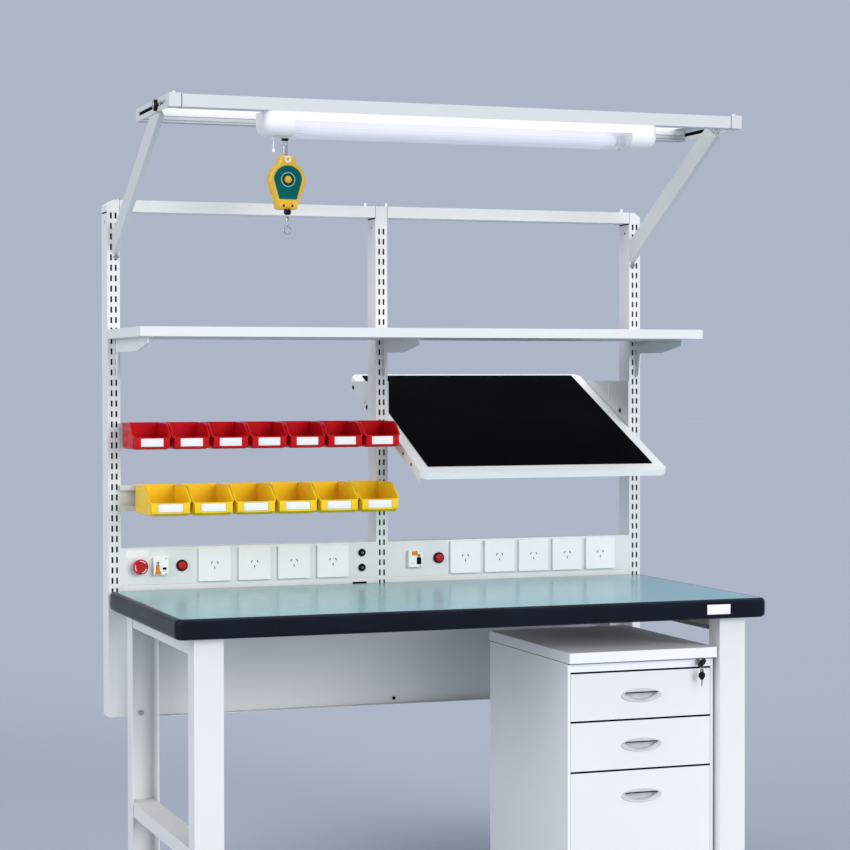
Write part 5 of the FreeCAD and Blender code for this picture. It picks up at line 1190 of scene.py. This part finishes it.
class TABLE_OT_tray_trim(bpy.types.Operator):
    """Model the bead round the tray's mat, its side screws and the hangers' slots"""

    bl_idname = "work_table.tray_trim"
    bl_label = "Tray trim"

    # Degrees of the tray's slope, and the mat's front and back edges from the pivot along that slope
    SLOPE = 23.2
    MAT_FRONT, MAT_BACK = -0.448, 0.149
    TRAY_RISE = 0.0135
    SCREW_PLACES = (-0.334, -0.403)

    def execute(self, context):
        self.bead()
        self.hanger_slots()
        return {"FINISHED"}

    def bead(self):
        """A frame inset from a grid face, raised, eased and tipped with the tray."""
        joint = next(j for j in frame["record"]["behaviour"]["joints"] if j["name"] == "tilt_shelf_tilt")
        pivot = Vector(joint["pos_m"])
        low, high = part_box("tilt_mat")
        width = sizes().bead_width
        half_way = (self.MAT_FRONT + self.MAT_BACK) / 2
        centre = Vector(((low.x + high.x) / 2, pivot.y + half_way, pivot.z + self.TRAY_RISE))
        size = Matrix.Diagonal((high.x - low.x + 2 * width, self.MAT_BACK - self.MAT_FRONT + 2 * width, 1, 1))
        bm = bmesh.new()

        def make():
            matrix = Matrix.Translation(centre) @ size
            made = bmesh.ops.create_grid(bm, x_segments=1, y_segments=1, size=0.5, matrix=matrix)
            face = made["verts"][0].link_faces[0]
            border = bmesh.ops.inset_region(bm, faces=[face], thickness=width, use_even_offset=True)["faces"]
            bmesh.ops.delete(bm, geom=[face], context="FACES")
            caps = drawn_out(bm, border, Z * sizes().bead_height)
            rim = [edge for edge in edges_of(caps) if sum(face in caps for face in edge.link_faces) == 1]
            soften(bm, rim, 1.4 * MM, 3)

        faces = shape(bm, make)
        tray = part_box("tilt_frame")
        head = [(0, 1.6), (3.6, 1.4), (4.6, 0.4), (4.6, -1), (0, -1)]
        for along in self.SCREW_PLACES:
            for x, outward in ((tray[0].x, -X), (tray[1].x, X)):
                faces += turned(bm, (x, pivot.y + along, pivot.z), outward, head, 1, 24)
        moved_faces(bm, faces, about(pivot, X, self.SLOPE))
        finished(bm, "tray_bead", "tilt_tray", ["tray_lit_paint", "black_moulding"])

    def hanger_slots(self):
        """Bright rims of the hangers' adjusting slots, with their screws and bolts."""
        low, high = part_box("tilt_hangers")
        bolt = [(0, 3), (5, 2.8), (6.2, 1.6), (6.2, -1), (0, -1)]
        screw = [(0, 3), (3.8, 2.8), (5.2, 1.4), (5.2, -1), (0, -1)]
        washer = [(6.2, -0.5), (6.2, 0.6), (8.6, 0.4), (9, -0.5)]
        wall, thick = 3, 1.2
        bm = bmesh.new()
        for x, side in ((low.x, 1), (high.x, -1)):
            outer = Vector((x, low.y, low.z))
            inner = outer + mm(wall * side, 0, 0)
            near, far = sorted((0, thick * side))
            block(bm, inner, (near, 126, 103), (far, 131, 147), 0.5)
            turned(bm, inner + mm(0, 54, 73), X * side, bolt, 1, 24)
            for along, rise in ((298, 139), (176, 85)):
                spot = outer + mm(0, along, rise)
                turned(bm, spot, -X * side, screw, 1, 24)
                turned(bm, spot, -X * side, washer, 2, 24)
        finished(bm, "hanger_slots", "table", ["white_moulding", "black_moulding", "zinc_steel"])


class TABLE_OT_lamp_fittings(bpy.types.Operator):
    """Fit the collars and rings at the ends of the lamp's tube"""

    bl_idname = "work_table.lamp_fittings"
    bl_label = "Lamp fittings"

    COLLAR_LENGTH = 0.018

    def execute(self, context):
        _, y, z = middle("lamp_tube")
        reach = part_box("lamp_tube")[1].x - self.COLLAR_LENGTH
        collar = [
            (13.1, -4), (13.6, -3), (13.6, 6), (13, 7), (13, 9), (13.8, 10), (13.8, 17.5), (13.1, 18),
        ]
        bm = bmesh.new()
        for turn in (-1, 1):
            turned(bm, (turn * reach, y, z), X * turn, collar)
            turned(bm, (turn * reach, y, z), X * turn, [(13.1, -7), (13.9, -6.5), (13.9, -4), (13.1, -3.5)], 1)
        finished(bm, "tube_collars", "overhead", ["satin_chrome", "black_moulding"])
        return {"FINISHED"}


class TABLE_OT_frame_trim(bpy.types.Operator):
    """Line slots and gaps with black painted shade and add seams, pins and screw holes to the frame"""

    bl_idname = "work_table.frame_trim"
    bl_label = "Frame trim"

    PIN_PLACES = (-0.700, -0.049, 0.010, 0.700)

    def execute(self, context):
        self.posts()
        self.trunkings()
        self.overhead()
        self.rear_rail()
        self.drawers()
        return {"FINISHED"}

    def posts(self):
        """Painted shade: black lining behind the slots, a black strip in the gap under the beam, black discs for the
        posts' holes and black marks in two slots near each outer post's top; also the beam's seams and pins, and the
        panel's screw.
        """
        beam_low, beam_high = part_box("top_beam")
        table_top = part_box("worktop_edge")[1].z
        hole = [(0, 0.3), (3, 0.3), (3.4, 0), (3.4, -1), (0, -1)]
        pin = [(0, 10), (2.2, 9.6), (3.4, 8), (3.4, 0), (5.2, -0.5), (5.2, -2), (0, -2)]
        head = [(0, 1.4), (3.4, 1.2), (4.6, 0), (4.6, -3), (0, -3)]
        bm = bmesh.new()
        for node in ("post_left", "post_middle", "post_right"):
            low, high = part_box(node)
            crown = Vector((low.x, low.y, high.z))
            foot = Vector((low.x, low.y, table_top))
            # black lining behind the slots: painted shade of the post's inside
            slab(bm, foot + mm(2.4, 2.2, -10), Vector((high.x, *crown.yz)) + mm(-2.4, 4, -3), 0.2)
            # black strip on the post's side: painted shadow in the gap under the beam
            slab(bm, crown + mm(-0.4, 3, -3.5), (low.x + MM, high.y - 6 * MM, high.z), 0.2)
            # black disc: painted shade of a hole
            turned(bm, crown + mm(0, 30, -26), -X, hole, 0, 20)
            for x in (low.x, high.x):
                if abs(x) < beam_high.x - MM:
                    seam = Vector((x, beam_low.y, beam_low.z))
                    tall = (beam_high.z - beam_low.z) / MM
                    block(bm, seam, (-0.6, -0.2, -0.2), (0.6, 2, tall + 0.2), 0.1, 1)
        for node in ("post_left", "post_right"):
            crown = middle(node)
            crown.y, crown.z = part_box(node)[0].y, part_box(node)[1].z
            for offset in (-6, 6):
                # black marks: painted shade in two slots near the post's top
                block(bm, crown, (offset - 2.5, -0.2, -18.2), (offset + 2.5, 1, -2.7), 0.1)
        for x in self.PIN_PLACES:
            turned(bm, (x, beam_low.y + 15 * MM, beam_high.z), Z, pin, 2, 24)
        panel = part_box("modesty_panel")
        screw = Vector((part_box("post_middle")[1].x, panel[1].y, panel[0].z))
        turned(bm, screw + mm(15.5, -4, 13), -Y, head, 0, 20)
        finished(bm, "post_trim", "table", ["shadow_black", "seam_and_shade_grey", "white_moulding"])

    def trunkings(self):
        """Back strip under each trunking, and a black slab at the left one's end: painted shade in the gap there."""
        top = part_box("worktop_edge")[1].z
        bm = bmesh.new()
        for node in ("trunking_left", "trunking_right"):
            low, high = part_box(node)
            slab(bm, (low.x, low.y + 1.2 * MM, top - 8 * MM), (high.x, low.y + 3 * MM, low.z + 0.5 * MM), 0.3)
        # black slab: painted shade in the gap under the left trunking's end
        end = Vector((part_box("trunking_left")[1].x, low.y, top))
        block(bm, end, (-66, 0.6, -2), (-26, 2, 3.5), 0.4, 1)
        finished(bm, "trunking_strips", "table", ["pale_paint", "shadow_black"])

    def overhead(self):
        """Painted shade: dark strips in the joints where the front rail meets the corner blocks, and black linings in
        the end channels' slots.
        """
        low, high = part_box("overhead_front_rail")
        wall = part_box("overhead_end_channels")[1].x - 2 * MM
        level = middle("clamp_bolts").z
        bm = bmesh.new()
        for x in (low.x, high.x):
            slab(bm, Vector((x, *low.yz)) - mm(1.1, 0.3, 0.3), Vector((x, *high.yz)) + mm(1.1, 0.3, 0.3), 0.2)
        for side in (-1, 1):
            near, far = sorted((-0.25 * side, -0.05 * side))
            # black lining: painted shade inside each end channel's slot
            block(bm, Vector((side * wall, low.y, level)), (near, 171, -4.4), (far, 319, 4.4), 0.02, 1)
        finished(bm, "rail_joint_and_slot_shade", "overhead", ["seam_and_shade_grey", "shadow_black"])

    def rear_rail(self):
        """White strip along the rear rail's upper half, painted light where the rail's upper face is lit, and the grey
        track and its two lines below.
        """
        low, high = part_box("overhead_rear_rail")
        run, tall = (high.x - low.x) / MM - 1, (high.z - low.z) / MM
        split = 15
        bm = bmesh.new()
        # white strip: painted light for the rail's lit upper face
        block(bm, low, (1, -1.6, split), (run, -0.1, tall + 4), 0.4)
        block(bm, low, (1, -1, 0), (run, -0.1, split), 0.2, 1)
        for rise in (4.5, 14):
            block(bm, low, (1, -1.3, rise), (run, -0.6, rise + 1.2), 0.1, 2)
        finished(bm, "rear_rail_track", "overhead", ["white_moulding", "pull_satin", "seam_and_shade_grey"])

    def drawers(self):
        """Painted shade: a black strip in the gap along the top edge of each drawer front, and dark lines under the
        pedestal's top.
        """
        for level, body in DRAWERS:
            node = f"drawer_{level}"
            low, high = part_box(node)
            bm = bmesh.new()
            run = (high.x - low.x) / MM
            # black strip: painted shade in the gap above the drawer front
            block(bm, Vector((low.x, low.y, high.z)), (0, -0.3, -1.6), (run, 16, 2.4), 0.2)
            finished(bm, node + "_gap_shade", body, ["shadow_black"])
        low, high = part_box("pedestal_carcass")
        run, deep = (high.x - low.x) / MM, (high.y - low.y) / MM
        corner = Vector((low.x, low.y, high.z))
        bm = bmesh.new()
        # dark lines: painted shade under the top's edges
        for side in (0, run):
            block(bm, corner, (side - 0.4, 2, -2.2), (side + 0.4, deep - 2, -0.2), 0.1)
        block(bm, corner, (0, -0.4, -4.2), (run, 0.4, -0.2), 0.1)
        finished(bm, "pedestal_top_shade", "pedestal", ["seam_and_shade_grey"])


class TABLE_OT_stage(bpy.types.Operator):
    """Set up the floor, soft lamps and the camera"""

    bl_idname = "work_table.stage"
    bl_label = "Stage"

    # Name, direction, strength and spread in degrees of each lamp
    LAMPS = (
        ("key_light", (0.4, -1.0, 0.30), 1.76, 36.0),
        ("fill_light", (-1.0, -0.35, 0.3), 1.55, 60.0),
        ("top_light", (0.1, 0.10, 1.0), 1.15, 50.0),
    )
    LAMP_DISTANCE, FLOOR_REACH, AMBIENT_STRENGTH = 6, 60, 0.48

    def execute(self, context):
        self.settings = context.scene.table_stage
        context.scene.view_settings.view_transform = "Standard"
        self.floor()
        self.world(context.scene)
        self.lamps()
        self.camera(context.scene)
        return {"FINISHED"}

    def floor(self):
        bm = bmesh.new()
        bmesh.ops.create_grid(bm, x_segments=8, y_segments=8, size=self.FLOOR_REACH)
        mesh = bpy.data.meshes.new("studio_floor")
        bm.to_mesh(mesh)
        bm.free()
        tree, shader = new_finish("floor_paint")
        drift = noise(tree, surface_spot(tree), 0.35, 3.0)
        tone = toned(tree, drift, self.settings.floor, 0.98, 1.02)
        fill(tree, shader, {"Base Color": tone, "Roughness": 0.75, "Specular IOR Level": 0.0})
        mesh.materials.append(bpy.data.materials["floor_paint"])
        floor = bpy.data.objects.new("studio_floor", mesh)
        bpy.context.collection.objects.link(floor)

    def world(self, scene):
        """Pale backdrop for the camera and for reflections, even soft light for the rest."""
        scene.world = bpy.data.worlds.new("studio_world")
        scene.world.use_nodes = True
        tree = scene.world.node_tree
        tree.nodes.clear()
        path = tree.nodes.new("ShaderNodeLightPath").outputs
        seen = maths(tree, "MAXIMUM", path["Is Camera Ray"], path["Is Transmission Ray"])
        seen = maths(tree, "MAXIMUM", seen, path["Is Glossy Ray"])
        backdrop = place(tree, "ShaderNodeBackground", {"Color": (*self.settings.backdrop, 1.0), "Strength": 1.0})
        ambience = {"Color": (*self.settings.ambience, 1.0), "Strength": self.AMBIENT_STRENGTH}
        light = place(tree, "ShaderNodeBackground", ambience)
        mix = place(tree, "ShaderNodeMixShader", {0: seen, 1: light.outputs[0], 2: backdrop.outputs[0]})
        place(tree, "ShaderNodeOutputWorld", {"Surface": mix.outputs[0]})

    def lamps(self):
        """Large soft lamps so far off that they light the table evenly. The key lamp isn't mirrored."""
        for name, spot, strength, spread in self.LAMPS:
            light = bpy.data.lights.new(name, "SUN")
            light.energy = strength
            light.angle = math.radians(spread)
            lamp = bpy.data.objects.new(name, light)
            lamp.location = Vector(spot) * self.LAMP_DISTANCE
            lamp.rotation_euler = (-Vector(spot)).to_track_quat("-Z", "Y").to_euler()
            lamp.visible_glossy = name != "key_light"
            bpy.context.collection.objects.link(lamp)

    def camera(self, scene):
        view = self.settings
        lens = bpy.data.cameras.new("photo_camera")
        lens.sensor_width = 36
        lens.lens = view.focal_length
        camera = bpy.data.objects.new("photo_camera", lens)
        camera.location = Vector(view.camera_place) + Y * TABLE_FRONT
        camera.rotation_euler = (math.radians(90) - view.camera_pitch, view.camera_roll, -view.camera_yaw)
        bpy.context.collection.objects.link(camera)
        scene.camera = camera


OPERATORS = (
    TABLE_OT_finishes,
    TABLE_OT_bins,
    TABLE_OT_balancer,
    TABLE_OT_clamp_knobs,
    TABLE_OT_controls,
    TABLE_OT_sockets,
    TABLE_OT_handles,
    TABLE_OT_keys,
    TABLE_OT_tray_trim,
    TABLE_OT_lamp_fittings,
    TABLE_OT_frame_trim,
    TABLE_OT_stage,
)


class TABLE_PT_sidebar(bpy.types.Panel):
    """Steps, sizes and colours of the work table"""

    bl_label = "Work table"
    bl_idname = "TABLE_PT_sidebar"
    bl_space_type = "VIEW_3D"
    bl_region_type = "UI"
    bl_category = "Work table"

    def draw(self, context):
        for operator in OPERATORS:
            self.layout.operator(operator.bl_idname)
        for group in (context.scene.table_colours, context.scene.table_sizes, context.scene.table_stage):
            box = self.layout.box()
            for key in group.bl_rna.properties.keys():
                if key not in {"rna_type", "name"}:
                    box.prop(group, key)


CLASSES = (TableColours, FittingSizes, StageSettings, *OPERATORS, TABLE_PT_sidebar)


def register():
    for item in CLASSES:
        bpy.utils.register_class(item)
    bpy.types.Scene.table_colours = bpy.props.PointerProperty(type=TableColours)
    bpy.types.Scene.table_sizes = bpy.props.PointerProperty(type=FittingSizes)
    bpy.types.Scene.table_stage = bpy.props.PointerProperty(type=StageSettings)


def unregister():
    del bpy.types.Scene.table_stage
    del bpy.types.Scene.table_sizes
    del bpy.types.Scene.table_colours
    for item in reversed(CLASSES):
        bpy.utils.unregister_class(item)


def main():
    register()
    for operator in OPERATORS:
        group, step = operator.bl_idname.split(".")
        getattr(getattr(bpy.ops, group), step)()


if __name__ == "__main__":
    main()
